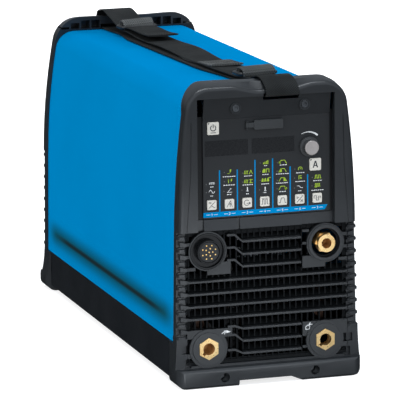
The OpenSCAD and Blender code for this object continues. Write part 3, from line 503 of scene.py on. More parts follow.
def catmull(pts, step, closed=False):
    """Smooth curve through points, resampled at an even step."""
    p = [Vector(q) for q in pts]
    n = len(p)
    dense = []
    for i in range(n if closed else n - 1):
        if closed:
            a, b, c, d = p[i - 1], p[i], p[(i + 1) % n], p[(i + 2) % n]
        else:
            a, b, c, d = p[max(i - 1, 0)], p[i], p[i + 1], p[min(i + 2, n - 1)]
        t0, t1 = 0.0, max((b - a).length, 1e-6) ** 0.5
        t2 = t1 + max((c - b).length, 1e-6) ** 0.5
        t3 = t2 + max((d - c).length, 1e-6) ** 0.5
        if (b - a).length < 1e-9:
            a, t1 = b - (c - b), t0 + (c - b).length ** 0.5
            t2 = t1 + (c - b).length ** 0.5
            t3 = t2 + max((d - c).length, 1e-6) ** 0.5
        if (d - c).length < 1e-9:
            d, t3 = c + (c - b), t2 + (c - b).length ** 0.5
        m = max(4, int((c - b).length / step * 2))
        for j in range(m):
            t = t1 + (t2 - t1) * j / m
            a1 = a * ((t1 - t) / (t1 - t0)) + b * ((t - t0) / (t1 - t0))
            a2 = b * ((t2 - t) / (t2 - t1)) + c * ((t - t1) / (t2 - t1))
            a3 = c * ((t3 - t) / (t3 - t2)) + d * ((t - t2) / (t3 - t2))
            b1 = a1 * ((t2 - t) / (t2 - t0)) + a2 * ((t - t0) / (t2 - t0))
            b2 = a2 * ((t3 - t) / (t3 - t1)) + a3 * ((t - t1) / (t3 - t1))
            dense.append(b1 * ((t2 - t) / (t2 - t1)) + b2 * ((t - t1) / (t2 - t1)))
    if not closed:
        dense.append(p[-1])
    # even spacing
    run = [0.0]
    loop = dense + ([dense[0]] if closed else [])
    for a, b in zip(loop, loop[1:]):
        run.append(run[-1] + (b - a).length)
    count = max(3, int(round(run[-1] / step)))
    out, j = [], 0
    for i in range(count + (0 if closed else 1)):
        s = run[-1] * i / count
        while j < len(run) - 2 and run[j + 1] < s:
            j += 1
        f = (s - run[j]) / max(run[j + 1] - run[j], 1e-9)
        out.append(loop[j].lerp(loop[j + 1], min(max(f, 0.0), 1.0)))
    return out, run[-1]


# ---------------------------------------------------------------- strap
TURN = math.radians(2.2)


def ease(t):
    t = min(max(t, 0.0), 1.0)
    return t * t * (3 - 2 * t)


def drift(y, z):
    """Sideways wander: the strap slides over at the hood and at the rear crest, and its lower layer lies further left."""
    low = 1.0 - ease((z - 322.6) / 1.6)
    return 5.2 * ease((-120 - y) / 110) - 2.4 * ease((y - 200) / 45) - 6.0 * low * ease((y + 160) / 80) * ease((205 - y) / 60)


def on_strap(s, y, z):
    """Point s across the strap, y along it and z up, in metres."""
    s += drift(y, z)
    return Vector(((0.5 + s * math.cos(TURN) - y * math.sin(TURN)) * MM, (s * math.sin(TURN) + y * math.cos(TURN)) * MM, z * MM))


def wave(y):
    return 325.4 + 0.8 * math.sin(math.radians(1.1 * y)) + 0.7 * math.sin(math.radians(2.3 * y + 40)) + 3.2 * ease((-185 - y) / 50) + 1.8 * ease((y - 130) / 60)


STRAP = (
    [(y, 321.7) for y in range(100, -251, -25)]
    + [(-HL + a, b) for a, b in (
        (17, 321.8), (14.6, 321.7), (13.2, 321.0), (12.4, 319.9), (11.6, 318.2), (10.6, 316.9), (9.4, 316.3), (5.2, 316.2), (3.4, 316.7), (2.6, 318.0),
        (2.4, 320.0), (2.6, 322.2), (3.5, 324.4), (5.8, 326.7), (9.8, 329.0), (15, 331.5), (21, 333.5), (27, 334.4), (32, 334.4), (38, 333.5), (45, 331.6), (51, 329.6))]
    + [(y, wave(y)) for y in range(-228, 193, 12)]
    + [(204, 328.8), (213, 331.8), (223, 335.4), (233, 338.5), (243, 341.2), (251, 343.0), (258, 343.8), (264, 343.6), (270, 342.7), (275.5, 341.3), (279.6, 338.8), (281.8, 335.2),
       (282.4, 331), (282.4, 324.6), (281.6, 322.8), (279.8, 321.8), (276, 321.7)]
    + [(y, 321.7) for y in range(250, 101, -25)]
)


def ribbon(name, path, width, thick, mats, closed=False, step=1.2, across=14, rib=None, ripple=None, skew=None, hem=None):
    """Webbing along a path in (y, z): rounded selvedges, optional woven ribs in the surface, flat coordinates for the weave."""
    pts, length = catmull([(0.0, y, z) for y, z in path], step, closed)
    n = len(pts)
    half, r = width / 2, thick / 2
    section = []
    for j in range(across + 1):
        section.append((-half + r + (width - 2 * r) * j / across, r))
    for j in range(1, 4):
        a = math.pi / 2 - math.pi * j / 4
        section.append((half - r + r * math.cos(a), r * math.sin(a)))
    for j in range(across + 1):
        section.append((half - r - (width - 2 * r) * j / across, -r))
    for j in range(1, 4):
        a = -math.pi / 2 - math.pi * j / 4
        section.append((-half + r + r * math.cos(a), r * math.sin(a)))
    bm = bmesh.new()
    uv = bm.loops.layers.uv.new("flat")
    rings, flat = [], {}
    for i, p in enumerate(pts):
        a = pts[(i - 1) % n] if closed or i > 0 else p
        b = pts[(i + 1) % n] if closed or i < n - 1 else p
        t = (b - a).normalized()
        ny, nz = -t.z, t.y
        v = length * i / (n if closed else n - 1)
        ring = []
        for s, h in section:
            k = 1.0
            if rib:
                k += rib[0] / r * math.sin(2 * math.pi * v / rib[1]) * (1.0 if abs(s) < half - r else 0.4)
            lift = ripple(s / half, p.y, p.z) if ripple else 0.0
            y, z = p.y + ny * h * k, p.z + nz * h * k + lift
            if skew:
                dy, dz = skew(s / half, p.y)
                y, z = y + dy, z + dz
            vert = bm.verts.new(on_strap(s, y, z))
            flat[vert] = (s + half, v)
            ring.append(vert)
        rings.append(ring)
    ring_skin(bm, rings, closed)
    for f in bm.faces:
        vs = [flat[l.vert][1] for l in f.loops]
        wrap = closed and max(vs) - min(vs) > length / 2
        for l in f.loops:
            u, v = flat[l.vert]
            if wrap and v < length / 2:
                v += length
            l[uv].uv = (u * MM, v * MM)
    return piece(name, bm, mats, smooth_angle=50.0), length


def layer_ripple(s, y, z):
    """Slack in the upper layer: the edges curl and the middle bellies a little."""
    if z < 323.5 or y < -232 or y > 200:
        return 0.0
    fade = ease((y + 232) / 40) * ease((200 - y) / 40)
    return fade * (0.4 * s * s * math.sin(y / 21.0 + 1.3 * s) + 0.4 * s * math.sin(y / 47.0 + 0.6))


def roll(name, path, width, layers, skew):
    """Webbing rolled over a bar, layer inside layer."""
    first = None
    mid = Vector((sum(p[0] for p in path) / len(path), sum(p[1] for p in path) / len(path)))
    for k in range(layers):
        pts = [tuple(mid + (Vector(p) - mid) * (1.0 - 0.30 * k)) for p in path]
        # the rolls wear the lighter webbing copy, which is painted light
        o, _ = ribbon(name if k == 0 else f"{name}_inner_{k}", pts, width - 1.4 * k, 1.7, ["web_painted_lit"], step=0.32, across=20, rib=(0.26, 3.0), skew=skew)
        first = first or o
    return first


strap_obj, strap_len = ribbon("strap_webbing", STRAP, 38.0, 1.7, ["web"], closed=True, step=1.1, ripple=layer_ripple,
                              skew=lambda s, y: (0.0, 0.0))
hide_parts("strap")

roll("front_wrap", [(-195.0, 331.2), (-194.0, 333.4), (-195.6, 335.6), (-199.4, 336.9), (-204.4, 336.8), (-209.0, 335.6), (-212.6, 333.4), (-214.0, 330.8), (-213.0, 328.6)],
     38.6, 2, lambda s, y: (1.2 * s, 0.4 * s))
roll("rear_wrap", [(199.0, 333.0), (199.6, 335.8), (198.0, 338.2), (194.6, 339.4), (190.0, 339.2), (186.0, 337.6), (183.2, 335.0), (182.4, 332.4), (183.4, 330.6)],
     39.0, 2, lambda s, y: (2.0 * s, 0.7 * s))
rear_tail, _ = ribbon(
    "rear_tail", [(192, 331.0), (186, 331.5), (178, 332.2), (168, 332.6), (155, 332.7), (140, 332.4), (120, 332.2), (104, 332.4), (92.5, 333.0)],
    38.2, 1.8, ["web"], step=0.4, across=16, rib=(0.07, 1.7), ripple=lambda s, y, z: 0.5 * s * math.sin(y / 30.0) + 0.6 * s * s * ease((120 - y) / 22))
# the front flap also wears the lighter webbing copy, painted light
front_tail, _ = ribbon(
    "front_tail", [(-80, wave(-80) + 1.5)] + [(y, wave(y) + 2.3) for y in (-86, -93, -100, -107, -114)] + [(-120, wave(-120) + 2.6), (-124.5, wave(-124.5) + 3.0)],
    38.2, 2.4, ["web_painted_lit"], step=0.4, across=16, rib=(0.20, 3.0), skew=lambda s, y: (-1.0 * s, 0.2 * s))


# ---------------------------------------------------------------- buckles
def oval(bm, centre, across, up, a, b, n=14):
    """One oval section about a centre."""
    out = []
    for j in range(n):
        t = 2 * math.pi * j / n
        c, s = math.cos(t), math.sin(t)
        c, s = math.copysign(abs(c) ** 0.75, c), math.copysign(abs(s) ** 0.75, s)
        out.append(bm.verts.new(centre + across * (a * c) + up * (b * s)))
    return out


def buckle(name, node, y0):
    """Moulded slide buckle: a rounded frame, a raised middle bar with grip ridges, in the box of its CAD node."""
    z0 = wave(y0) + 2.4
    w, l, t = 48.0, 24.0, 4.4
    x_dir = Vector((math.cos(TURN), math.sin(TURN), 0.0))
    y_dir = Vector((-math.sin(TURN), math.cos(TURN), 0.0))
    up = Vector((0, 0, 1))
    mid = Vector(((0.5 + drift(y0, z0) - y0 * math.sin(TURN)) * MM, y0 * MM, (z0 + t / 2) * MM))
    bm = bmesh.new()
    bar = 2.35
    hx, hy, rc = w / 2 - bar, l / 2 - bar, 4.2
    path = []
    for cx, cy, a0 in ((hx - rc, hy - rc, 0), (-hx + rc, hy - rc, 90), (-hx + rc, -hy + rc, 180), (hx - rc, -hy + rc, 270)):
        for k in range(9):
            a = math.radians(a0 + 90 * k / 8)
            path.append((cx + rc * math.cos(a), cy + rc * math.sin(a)))
    rings = []
    n = len(path)
    for i, (px, py) in enumerate(path):
        ax, ay = path[i - 1]
        bx, by = path[(i + 1) % n]
        tx, ty = bx - ax, by - ay
        q = math.hypot(tx, ty)
        out = x_dir * (ty / q) + y_dir * (-tx / q)
        bow = 0.35 * (px / hx) ** 2
        rings.append(oval(bm, mid + x_dir * (px * MM) + y_dir * (py * MM) + up * (-bow * 0.5 * MM), out, up, bar * MM, (t / 2 - 0.25) * MM))
    ring_skin(bm, rings, closed=True)
    # middle bar, thicker in the middle, with grip ridges
    rings = []
    for i in range(61):
        s = -1 + 2 * i / 60
        ridge = 0.16 * math.cos(s * 58.0) * ease((0.9 - abs(s)) / 0.1)
        rings.append(oval(bm, mid + x_dir * (s * (hx + 0.6) * MM) + up * (0.35 * (1 - s * s) * MM), y_dir, up, (2.2 + ridge) * MM, (t / 2 - 0.55 + ridge) * MM))
    ring_skin(bm, rings)
    o = piece(name, bm, ["buckle"], smooth_angle=60.0)
    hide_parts(node)
    return o


buckle("front_buckle_frame", "front_buckle", -200.0)
buckle("rear_buckle_frame", "rear_buckle", 190.0)


# ---------------------------------------------------------------- stitching
def stitch(bm, a, b, up, r):
    """One stitch: a thread that rises out of the cloth at a and dives in at b."""
    d = b - a
    side = d.cross(up).normalized()
    rings = []
    for i in range(7):
        t = i / 6
        c = a + d * t + up * (r * 1.1 * math.sin(math.pi * t) - r * 0.25)
        k = r * (0.45 + 0.55 * math.sin(math.pi * min(max(t, 0.06), 0.94)))
        ring = []
        for j in range(6):
            q = 2 * math.pi * j / 6
            ring.append(bm.verts.new(c + side * (k * math.cos(q)) + up * (k * math.sin(q))))
        rings.append(ring)
    ring_skin(bm, rings)


def seam(bm, rows, top, pitch=2.9, r=0.34):
    """Rows of stitches; top(s, y) gives the cloth's upper face in millimetres."""
    for (s0, y0), (s1, y1) in rows:
        length = math.hypot(s1 - s0, y1 - y0)
        k = max(1, int(length / pitch))
        for i in range(k):
            u0, u1 = (i + 0.12) / k, (i + 0.84) / k
            a = (s0 + (s1 - s0) * u0, y0 + (y1 - y0) * u0)
            b = (s0 + (s1 - s0) * u1, y0 + (y1 - y0) * u1)
            pa, pb = on_strap(a[0], a[1], top(*a)), on_strap(b[0], b[1], top(*b))
            tilt = (on_strap(a[0], a[1] + 1, top(a[0], a[1] + 1)) - pa).cross(on_strap(a[0] + 1, a[1], top(a[0] + 1, a[1])) - pa)
            up = tilt.normalized()
            if up.z < 0:
                up = -up
            stitch(bm, pa, pb, up, r * MM)


def top_of(obj):
    """Upper face of a strap piece as a height function of (s, y), by casting down onto it."""
    from mathutils.bvhtree import BVHTree

    me = obj.data
    tree = BVHTree.FromPolygons([v.co.copy() for v in me.vertices], [p.vertices[:] for p in me.polygons])

    def height(s, y):
        p = on_strap(s, y, 400.0)
        hit = tree.ray_cast(p, Vector((0, 0, -1)))
        return hit[0].z / MM if hit[0] is not None else 330.0

    return height


bm = bmesh.new()
edge = 15.8
seam(bm, [((-edge, 95.4), (edge, 95.4)), ((-edge, 99.4), (edge, 99.4)), ((-edge, 99.4), (-edge, 114)), ((edge, 99.4), (edge, 114)),
          ((-edge, 114), (edge, 114)), ((-edge, 99.4), (edge, 114)), ((edge, 99.4), (-edge, 114))], top_of(rear_tail))
seam(bm, [((-edge, -120.6), (edge, -120.6)), ((-edge, -102), (edge, -102)), ((-edge, -120.6), (-edge, -86)), ((edge, -120.6), (edge, -86)),
          ((-edge, -86), (edge, -86)), ((-edge, -102), (edge, -120.6)), ((edge, -102), (-edge, -120.6))], top_of(front_tail))
piece("strap_stitching", bm, ["thread"], smooth_angle=80.0)


# ---------------------------------------------------------------- knob
def knob():
    """Control knob: skirt, fluted barrel and a pale dished cap, turned about its axis."""
    cx, cz = 49.4, 257.4
    profile = [  # (radius, y, flute depth, material)
        (3.05, -275.2, 0, 0), (3.05, -272.95, 0, 0), (10.4, -272.95, 0, 0), (10.9, -273.2, 0, 0), (11.0, -273.8, 0, 0), (10.95, -274.7, 0, 0), (10.5, -275.35, 0, 0),
        (9.3, -275.65, 0, 0), (8.8, -275.9, 0.0, 0), (8.6, -276.3, 0.30, 0), (8.45, -278.2, 0.38, 0), (8.25, -280.4, 0.38, 0), (8.1, -282.2, 0.34, 0), (7.98, -282.75, 0.0, 0),
        (7.9, -283.05, 0, 1), (7.65, -283.65, 0, 1), (7.2, -284.0, 0, 1), (6.7, -284.05, 0, 1), (6.1, -283.92, 0, 1), (4.5, -283.78, 0, 1), (2.2, -283.70, 0, 1), (0.5, -283.68, 0, 1)]
    n, flutes = 144, 24
    bm = bmesh.new()
    rings = []
    for r, y, depth, _ in profile:
        ring = []
        for j in range(n):
            a = 2 * math.pi * j / n
            g = depth * (0.5 + 0.5 * math.cos(a * flutes)) ** 2
            ring.append(bm.verts.new(Vector(((cx + (r - g) * math.cos(a)) * MM, y * MM, (cz + (r - g) * math.sin(a)) * MM))))
        rings.append(ring)
    for i in range(len(rings) - 1):
        ring_skin(bm, rings[i:i + 2], cap=False, mat=1 if profile[i + 1][3] and profile[i][3] else 0)
    bm.faces.new(rings[-1]).material_index = 1
    bm.faces.new(rings[0][::-1]).material_index = 0
    o = piece("knob_fluted", bm, ["knob_dark", "knob_cap"], body="knob", smooth_angle=40.0)
    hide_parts("encoder_knob")


knob()


# ---------------------------------------------------------------- printing
class Print:
    """Raised ink on a face at y, drawn in x and z; each mark is a thin closed plate."""

    def __init__(self, y, lift=0.07, sink=0.05):
        self.bm = bmesh.new()
        self.front, self.back = (y - lift) * MM, (y + sink) * MM

    def poly(self, pts):
        a = [self.bm.verts.new((x * MM, self.front, z * MM)) for x, z in pts]
        b = [self.bm.verts.new((x * MM, self.back, z * MM)) for x, z in pts]
        ring_skin(self.bm, [a, b])

    def bar(self, x0, x1, z0, z1):
        self.poly([(x0, z0), (x1, z0), (x1, z1), (x0, z1)])

    def line(self, pts, w, closed=False):
        """A stroke of even width with mitred corners."""
        p = [Vector(q) for q in pts]
        n = len(p)
        left, right = [], []
        for i in range(n):
            a = p[i - 1] if closed or i > 0 else None
            b = p[(i + 1) % n] if closed or i < n - 1 else None
            d0 = (p[i] - a).normalized() if a is not None else None
            d1 = (b - p[i]).normalized() if b is not None else None
            if d0 is None or d1 is None:
                d = d1 if d0 is None else d0
                q = Vector((-d.y, d.x)) * (w / 2)
                o = d * (w / 2) * (-1 if d0 is None else 1)
                left.append(p[i] + q + o)
                right.append(p[i] - q + o)
            else:
                m = Vector((-d0.y - d1.y, d0.x + d1.x))
                m = m.normalized() if m.length > 1e-6 else Vector((-d0.y, d0.x))
                k = (w / 2) / max(0.45, m.dot(Vector((-d1.y, d1.x))))
                left.append(p[i] + m * k)
                right.append(p[i] - m * k)
        for i in range(n if closed else n - 1):
            j = (i + 1) % n
            self.poly([left[i], left[j], right[j], right[i]])

    def disc(self, x, z, r, n=20):
        self.poly([(x + r * math.cos(2 * math.pi * i / n), z + r * math.sin(2 * math.pi * i / n)) for i in range(n)])

    def arc(self, x, z, r, a0, a1, w0, w1=None, n=24):
        """An arc whose width goes from w0 to w1."""
        w1 = w0 if w1 is None else w1
        pts = []
        for side in (1, -1):
            seq = range(n + 1) if side == 1 else range(n, -1, -1)
            for i in seq:
                t = i / n
                a = math.radians(a0 + (a1 - a0) * t)
                q = r + side * (w0 + (w1 - w0) * t) / 2
                pts.append((x + q * math.cos(a), z + q * math.sin(a)))
        half = len(pts) // 2
        for i in range(half - 1):
            self.poly([pts[i], pts[i + 1], pts[-2 - i], pts[-1 - i]])

    def done(self, name, mat, body="case", slot="panel_black"):
        return piece(name, self.bm, [mat], body=body, smooth_angle=None)


DIGITS = {
    1: [[(-0.35, 0.55), (0.15, 1.0), (0.15, -1.0)]],
    2: [[(-0.6, 0.6), (-0.35, 0.95), (0.3, 0.95), (0.6, 0.6), (0.55, 0.2), (-0.6, -0.95), (0.65, -0.95)]],
    3: [[(-0.55, 0.95), (0.55, 0.95), (0.0, 0.2), (0.5, -0.05), (0.58, -0.5), (0.25, -0.95), (-0.3, -0.95), (-0.6, -0.65)]],
    4: [[(0.3, -1.0), (0.3, 0.95), (-0.65, -0.35), (0.7, -0.35)]],
    5: [[(0.55, 0.95), (-0.5, 0.95), (-0.55, 0.15), (0.25, 0.2), (0.6, -0.2), (0.5, -0.75), (0.15, -0.95), (-0.35, -0.95), (-0.6, -0.7)]],
    6: [[(0.45, 0.9), (-0.1, 0.8), (-0.55, 0.1), (-0.55, -0.6), (-0.2, -0.95), (0.3, -0.95), (0.6, -0.6), (0.5, -0.1), (0.1, 0.1), (-0.5, -0.1)]],
    7: [[(-0.6, 0.95), (0.6, 0.95), (-0.1, -1.0)]],
}
PANEL_Y, KEY_Y, PAD_Y = -272.5, -273.5, -275.9
ROW_X = [-61.8 + 20.1 * i for i in range(7)]

white, green, blue, lamps = Print(PANEL_Y), Print(PANEL_Y), Print(PANEL_Y, lift=0.05), Print(PANEL_Y, lift=0.14)

# strip under the keys, with plain numbers, and the rules between the columns
blue.poly([(-71.2, 186.5), (67.4, 186.5), (70.8, 191.9), (-71.2, 191.9)])
for x, top in zip((-52.6, -32.5, -12.3, 7.8, 27.9, 47.9), (237.4, 237.0, 246.3, 246.6, 236.6, 226.6)):
    blue.bar(x - 0.65, x + 0.65, 191.7, top)
strip_ink = Print(PANEL_Y, lift=0.1)
for i, x in enumerate(ROW_X):
    for stroke in DIGITS[i + 1]:
        strip_ink.line([(x + 0.3 + 0.95 * a, 189.2 + 1.2 * b) for a, b in stroke], 0.42)
    for s in (-1, 1):
        strip_ink.bar(x + 0.3 + s * 4.3 - 2.1, x + 0.3 + s * 4.3 + 2.1, 188.95, 189.4)
strip_ink.done("strip_numbers", "white")


def caption(p, x, z, width, h=0.8):
    """A plain rule where a legend sits, broken into short dashes."""
    n = max(2, int(width / 2.3))
    pitch = width / n
    for i in range(n):
        c = x - width / 2 + pitch * (i + 0.5)
        q = pitch * (0.40 if (i * 7 + n) % 3 else 0.33)
        p.bar(c - q, c + q, z - h / 2, z + h / 2)


def sine(x, z, w, h, turns=1.0, n=18):
    return [(x - w / 2 + w * i / n, z + h / 2 * math.sin(2 * math.pi * turns * i / n)) for i in range(n + 1)]


def pulse(x, z, w, h, teeth=2):
    pts, step = [(x - w / 2, z - h / 2)], w / (2 * teeth)
    for i in range(teeth):
        a = x - w / 2 + step * (2 * i + 0.5)
        pts += [(a, z - h / 2), (a, z + h / 2), (a + step, z + h / 2), (a + step, z - h / 2)]
    return pts + [(x + w / 2, z - h / 2)]


def bolt(p, x, z, k=1.0):
    p.poly([(x + a * k, z + b * k) for a, b in ((-0.4, 2.2), (1.2, 2.2), (0.5, 0.5), (1.3, 0.5), (-0.9, -2.3), (-0.2, -0.3), (-1.0, -0.3))])


def ramp(x, z, w, h):
    return [(x - w / 2, z - h / 2), (x - w / 4, z + h / 2), (x + w / 4, z + h / 2), (x + w / 2, z - h / 2)]


S = 0.72
for p, x, z, kind in [
    (white, -61.4, 223.4, "dc"), (white, -61.4, 214.6, "ac"),
    (green, -40.9, 235.4, "bolt_ring"), (green, -40.9, 225.2, "bolt_lift"), (white, -41.4, 214.7, "rod"),
    (green, -20.2, 233.3, "pedal"), (green, -20.2, 223.4, "pedal_hold"), (white, -21.0, 214.6, "stem"),
    (green, 0.0, 243.0, "bars"), (green, 0.0, 233.8, "step_fill"), (green, 0.0, 223.9, "humps"), (white, -0.8, 213.6, "stem_pale"),
    (green, 19.6, 242.0, "start"), (green, 19.2, 232.8, "up_slope"), (green, 19.4, 222.8, "down_slope"), (green, 19.2, 213.4, "finish"),
    (green, 39.5, 233.8, "dial"), (green, 39.3, 223.9, "dig"), (white, 39.0, 212.9, "crater"),
    (green, 59.6, 223.3, "square"), (green, 59.2, 214.0, "hertz"),
]:
    if kind == "dc":
        p.bar(x - 3.0, x + 3.0, z + 0.6, z + 1.2)
        for s in (-2.3, 0, 2.3):
            p.bar(x + s - 0.75, x + s + 0.75, z - 0.6, z)
    elif kind == "ac":
        p.line(sine(x, z, 6.4, 3.6), 0.55)
    elif kind == "bolt_ring":
        bolt(p, x + 0.6, z + 0.2, 0.95)
        p.line([(x - 2.6, z - 2.2), (x - 0.6, z - 2.2)], 0.5)
    elif kind == "bolt_lift":
        bolt(p, x + 1.6, z + 0.2, 0.85)
        p.line([(x - 1.6, z - 2.2), (x - 1.6, z + 1.8)], 0.6)
        p.poly([(x - 2.5, z + 0.9), (x - 0.7, z + 0.9), (x - 1.6, z + 2.3)])
    elif kind == "rod":
        p.line([(x - 1.9, z - 1.8), (x + 1.6, z + 2.0)], 0.45)
        p.line([(x - 2.6, z - 2.1), (x + 2.4, z - 2.1)], 0.4)
        p.line([(x + 0.4, z + 2.2), (x + 2.4, z + 1.5)], 0.4)
    elif kind in ("pedal", "pedal_hold"):
        for s in (-4.0, -2.4, -0.8):
            p.line([(x + s - 0.6, z - 1.6), (x + s + 0.5, z + 1.6)], S)
            p.bar(x + s - 0.9, x + s + 0.9, z - 2.0, z - 1.3)
        if kind == "pedal":
            p.line([(x + 1.4, z - 1.9), (x + 3.2, z + 1.9), (x + 5.0, z - 1.9)], S)
        else:
            p.line([(x + 5.0, z + 1.6), (x + 2.0, z + 1.6), (x + 3.4, z - 0.1), (x + 1.8, z - 1.9), (x + 5.0, z - 1.9)], S)
    elif kind in ("stem", "stem_pale"):
        p.bar(x - 0.55, x + 0.55, z - 2.1, z + 2.3)
        p.bar(x - 1.2, x + 1.2, z - 2.3, z - 1.6)
    elif kind == "bars":
        for k, s in enumerate((-2.4, -0.8, 0.8, 2.4)):
            p.bar(x + s - 0.5, x + s + 0.5, z - 2.2, z - 0.2 + 0.75 * k)
    elif kind == "step_fill":
        p.poly([(x - 3.8, z - 2.2), (x - 0.4, z - 2.2), (x - 0.4, z + 1.9), (x - 2.4, z + 1.9), (x - 3.8, z + 0.2)])
        p.line([(x + 0.8, z - 1.8), (x + 0.8, z + 1.7), (x + 3.6, z + 1.7), (x + 3.6, z - 1.8)], S)
    elif kind == "humps":
        for s in (-3.6, -0.6, 2.6):
            p.poly([(x + s - 1.4, z - 2.1), (x + s + 1.3, z - 2.1), (x + s + 0.8, z + 1.2), (x + s, z + 1.9), (x + s - 0.9, z + 0.9)])
        p.line([(x + 3.4, z + 1.9), (x + 5.4, z + 1.9)], S)
    elif kind in ("start", "up_slope", "down_slope", "finish"):
        p.line(ramp(x, z + 0.1, 8.4, 3.6), S)
        if kind == "start":
            p.poly([(x - 4.6, z - 2.0), (x - 2.6, z - 2.0), (x - 2.6, z + 0.6), (x - 4.6, z + 0.6)])
        elif kind == "up_slope":
            p.poly([(x - 4.0, z - 1.9), (x - 0.9, z - 1.9), (x - 0.9, z + 1.9), (x - 2.1, z + 1.9)])
        elif kind == "down_slope":
            p.poly([(x + 0.9, z - 1.9), (x + 4.0, z - 1.9), (x + 2.1, z + 1.9), (x + 0.9, z + 1.9)])
        else:
            p.poly([(x + 2.6, z - 2.0), (x + 4.8, z - 2.0), (x + 4.8, z + 0.5), (x + 2.6, z + 0.5)])
    elif kind == "dial":
        p.arc(x, z - 0.8, 2.2, 205, -25, S)
        p.line([(x, z - 0.8), (x + 1.5, z + 1.0)], S)
    elif kind == "dig":
        p.line([(x - 1.4, z - 2.0), (x - 1.4, z + 1.6), (x + 1.4, z + 1.6)], S)
        p.disc(x + 0.9, z - 0.9, 1.0, 12)
    elif kind == "crater":
        p.line([(x - 3.0, z + 1.5), (x - 0.8, z + 1.5), (x + 1.2, z - 0.6), (x + 3.0, z - 0.6)], 0.5)
    elif kind == "square":
        p.line(pulse(x, z, 7.4, 3.4, 2), S)
    elif kind == "hertz":
        p.line(pulse(x, z, 6.2, 3.2, 3), 0.6)
        p.bar(x - 3.2, x - 0.4, z - 2.5, z - 2.0)
    lamps.disc(x - 6.3, z - 0.6, 0.62, 14)

for x, z, w in [
    (-61.4, 219.8, 4.2), (-61.6, 209.9, 3.6), (-41.8, 229.9, 15.2), (-41.8, 220.6, 13.6), (-41.8, 210.2, 5.6), (-20.2, 229.2, 9.4), (-20.6, 219.5, 12.2), (-21.0, 209.6, 3.6),
    (-0.2, 239.2, 3.8), (-0.5, 229.5, 7.8), (-0.8, 219.2, 9.2), (-1.0, 209.6, 3.4), (20.0, 238.7, 9.0), (18.9, 229.0, 15.6), (18.3, 218.9, 14.0), (19.0, 209.4, 8.2),
    (39.4, 228.9, 9.8), (39.2, 219.3, 11.6), (38.9, 208.9, 4.0), (59.2, 218.9, 10.4), (59.1, 208.4, 14.6),
]:
    caption(white, x, z, w)
# scale round the knob, thin to thick
white.arc(48.6, 256.8, 16.4, 118, 48, 0.35, 2.0)
white.done("panel_ink_white", "white")
green.done("panel_ink_green", "green")
blue.done("panel_ink_blue", "blue")
lamps.done("panel_lamps", "led")


# ---------------------------------------------------------------- key legends
def legend(node, x, z, draw):
    p = Print(KEY_Y, lift=0.06)
    draw(p, x, z)
    p.done(node + "_legend", "icon", body=node, slot="key_grey")


def power_symbol(p, x, z):
    p.arc(x, z + 0.4, 3.0, 122, 418, 1.0)
    p.bar(x - 0.5, x + 0.5, z + 0.6, z + 4.6)
    p.bar(x - 3.0, x + 3.0, z - 5.0, z - 4.3)
    p.poly([(x - 5.8, z + 6.0), (x - 5.8, z + 4.0), (x - 3.6, z + 6.0)])


def letter_a(p, x, z):
    p.poly([(x - 3.1, z - 3.7), (x - 1.7, z - 3.7), (x + 0.1, z + 2.3), (x + 0.1, z + 3.9), (x - 0.75, z + 3.9)])
    p.poly([(x + 3.1, z - 3.7), (x + 1.7, z - 3.7), (x - 0.1, z + 2.3), (x - 0.1, z + 3.9), (x + 0.75, z + 3.9)])
    p.bar(x - 1.5, x + 1.5, z - 1.9, z - 0.8)
    p.poly([(x - 5.8, z + 5.9), (x - 5.8, z + 3.9), (x - 3.6, z + 5.9)])


def k1(p, x, z):
    p.line([(x - 3.4, z - 3.4), (x + 3.4, z + 3.4)], 0.6)
    p.bar(x - 3.6, x - 0.6, z + 2.9, z + 3.4)
    p.bar(x - 3.6, x - 0.6, z + 1.7, z + 2.2)
    p.line(sine(x + 1.7, z - 2.2, 3.6, 2.2), 0.5)


def k2(p, x, z):
    p.line([(x - 3.2, z - 3.4), (x + 1.0, z + 3.4), (x + 3.0, z - 3.4)], 0.6)
    p.line([(x + 0.6, z - 3.2), (x + 0.6, z - 0.4)], 0.6)
    p.poly([(x - 0.6, z - 0.6), (x + 1.8, z - 0.6), (x + 0.6, z + 1.3)])


def k3(p, x, z):
    p.arc(x - 0.6, z, 2.9, 40, 320, 0.6)
    p.bar(x - 0.8, x + 2.2, z - 0.9, z - 0.3)
    p.poly([(x + 2.0, z + 0.9), (x + 2.0, z - 2.1), (x + 3.9, z - 0.6)])


def k4(p, x, z):
    p.line(pulse(x, z - 0.2, 7.4, 5.4, 2), 0.6)
    p.line([(x - 3.6, z + 3.6), (x + 3.6, z + 3.6)], 0.4)


def k5(p, x, z):
    p.line([(x - 4.0, z - 2.6), (x - 2.6, z - 2.6), (x - 1.2, z + 2.6), (x + 1.4, z + 2.6), (x + 2.4, z + 1.4), (x + 3.0, z - 2.6), (x + 4.0, z - 2.6)], 0.62)


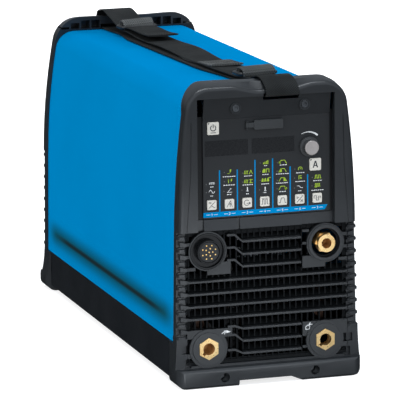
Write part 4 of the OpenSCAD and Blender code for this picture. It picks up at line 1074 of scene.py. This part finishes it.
def k6(p, x, z):
    p.line([(x - 3.4, z - 3.5), (x + 3.2, z + 3.5)], 0.6)
    p.line([(x - 3.4, z + 3.4), (x - 3.4, z + 0.6), (x - 1.6, z + 2.0)], 0.55)
    p.line([(x + 0.8, z - 0.8), (x + 3.4, z - 3.2)], 0.55)
    p.line([(x + 3.4, z - 0.8), (x + 0.8, z - 3.2)], 0.55)


def k7(p, x, z):
    p.line([(x - 3.9, z - 0.2), (x - 3.9, z + 2.4), (x - 1.2, z + 2.4), (x - 1.2, z - 2.6), (x + 1.4, z - 2.6), (x + 1.4, z + 1.6), (x + 3.8, z + 1.6), (x + 3.8, z - 0.4)], 0.6)
    p.line([(x - 3.9, z - 0.2), (x + 3.8, z - 0.2)], 0.35)


legend("key_power", -59.6, 283.6, power_symbol)
legend("key_amps", 56.6, 237.2, letter_a)
for i, draw in enumerate((k1, k2, k3, k4, k5, k6, k7)):
    legend(f"key_{i + 1}", ROW_X[i], 200.0, draw)

# ---------------------------------------------------------------- socket symbols
marks = Print(PAD_Y, lift=0.08)
marks.line([(-53.4, 56.9), (-50.6, 59.2), (-47.6, 59.2)], 0.8)
marks.poly([(-50.4, 60.6), (-46.4, 60.9), (-44.4, 59.8), (-42.2, 59.3), (-44.6, 58.6), (-46.8, 58.1), (-49.6, 58.3)])
marks.line([(-49.0, 58.4), (-49.8, 57.0)], 0.6)
marks.line([(44.0, 54.6), (43.8, 57.4), (46.0, 59.4), (48.6, 58.0), (48.2, 54.8)], 0.6, closed=True)
marks.line([(47.0, 58.8), (49.2, 61.8)], 0.8)
marks.line([(48.6, 59.6), (51.2, 60.0)], 0.7)
marks.done("socket_symbols", "white", slot="case_black")

# ---------------------------------------------------------------- floor
bm = bmesh.new()
bmesh.ops.create_grid(bm, x_segments=8, y_segments=8, size=30.0)
floor_mesh = bpy.data.meshes.new("floor")
bm.to_mesh(floor_mesh)
bm.free()
floor = bpy.data.objects.new("floor", floor_mesh)
scene.collection.objects.link(floor)
fm = Mat("floor_pale")
grain = fm.noise(30.0, 3.0)
fm.set(color=fm.ramp(grain, (0.3, (0.44, 0.44, 0.44)), (0.7, (0.46, 0.46, 0.46))), rough=0.8, spec=0.1, emit=(1.0, 1.0, 1.0), emit_power=0.74)
floor_mesh.materials.append(fm.m)
floor.visible_glossy = False
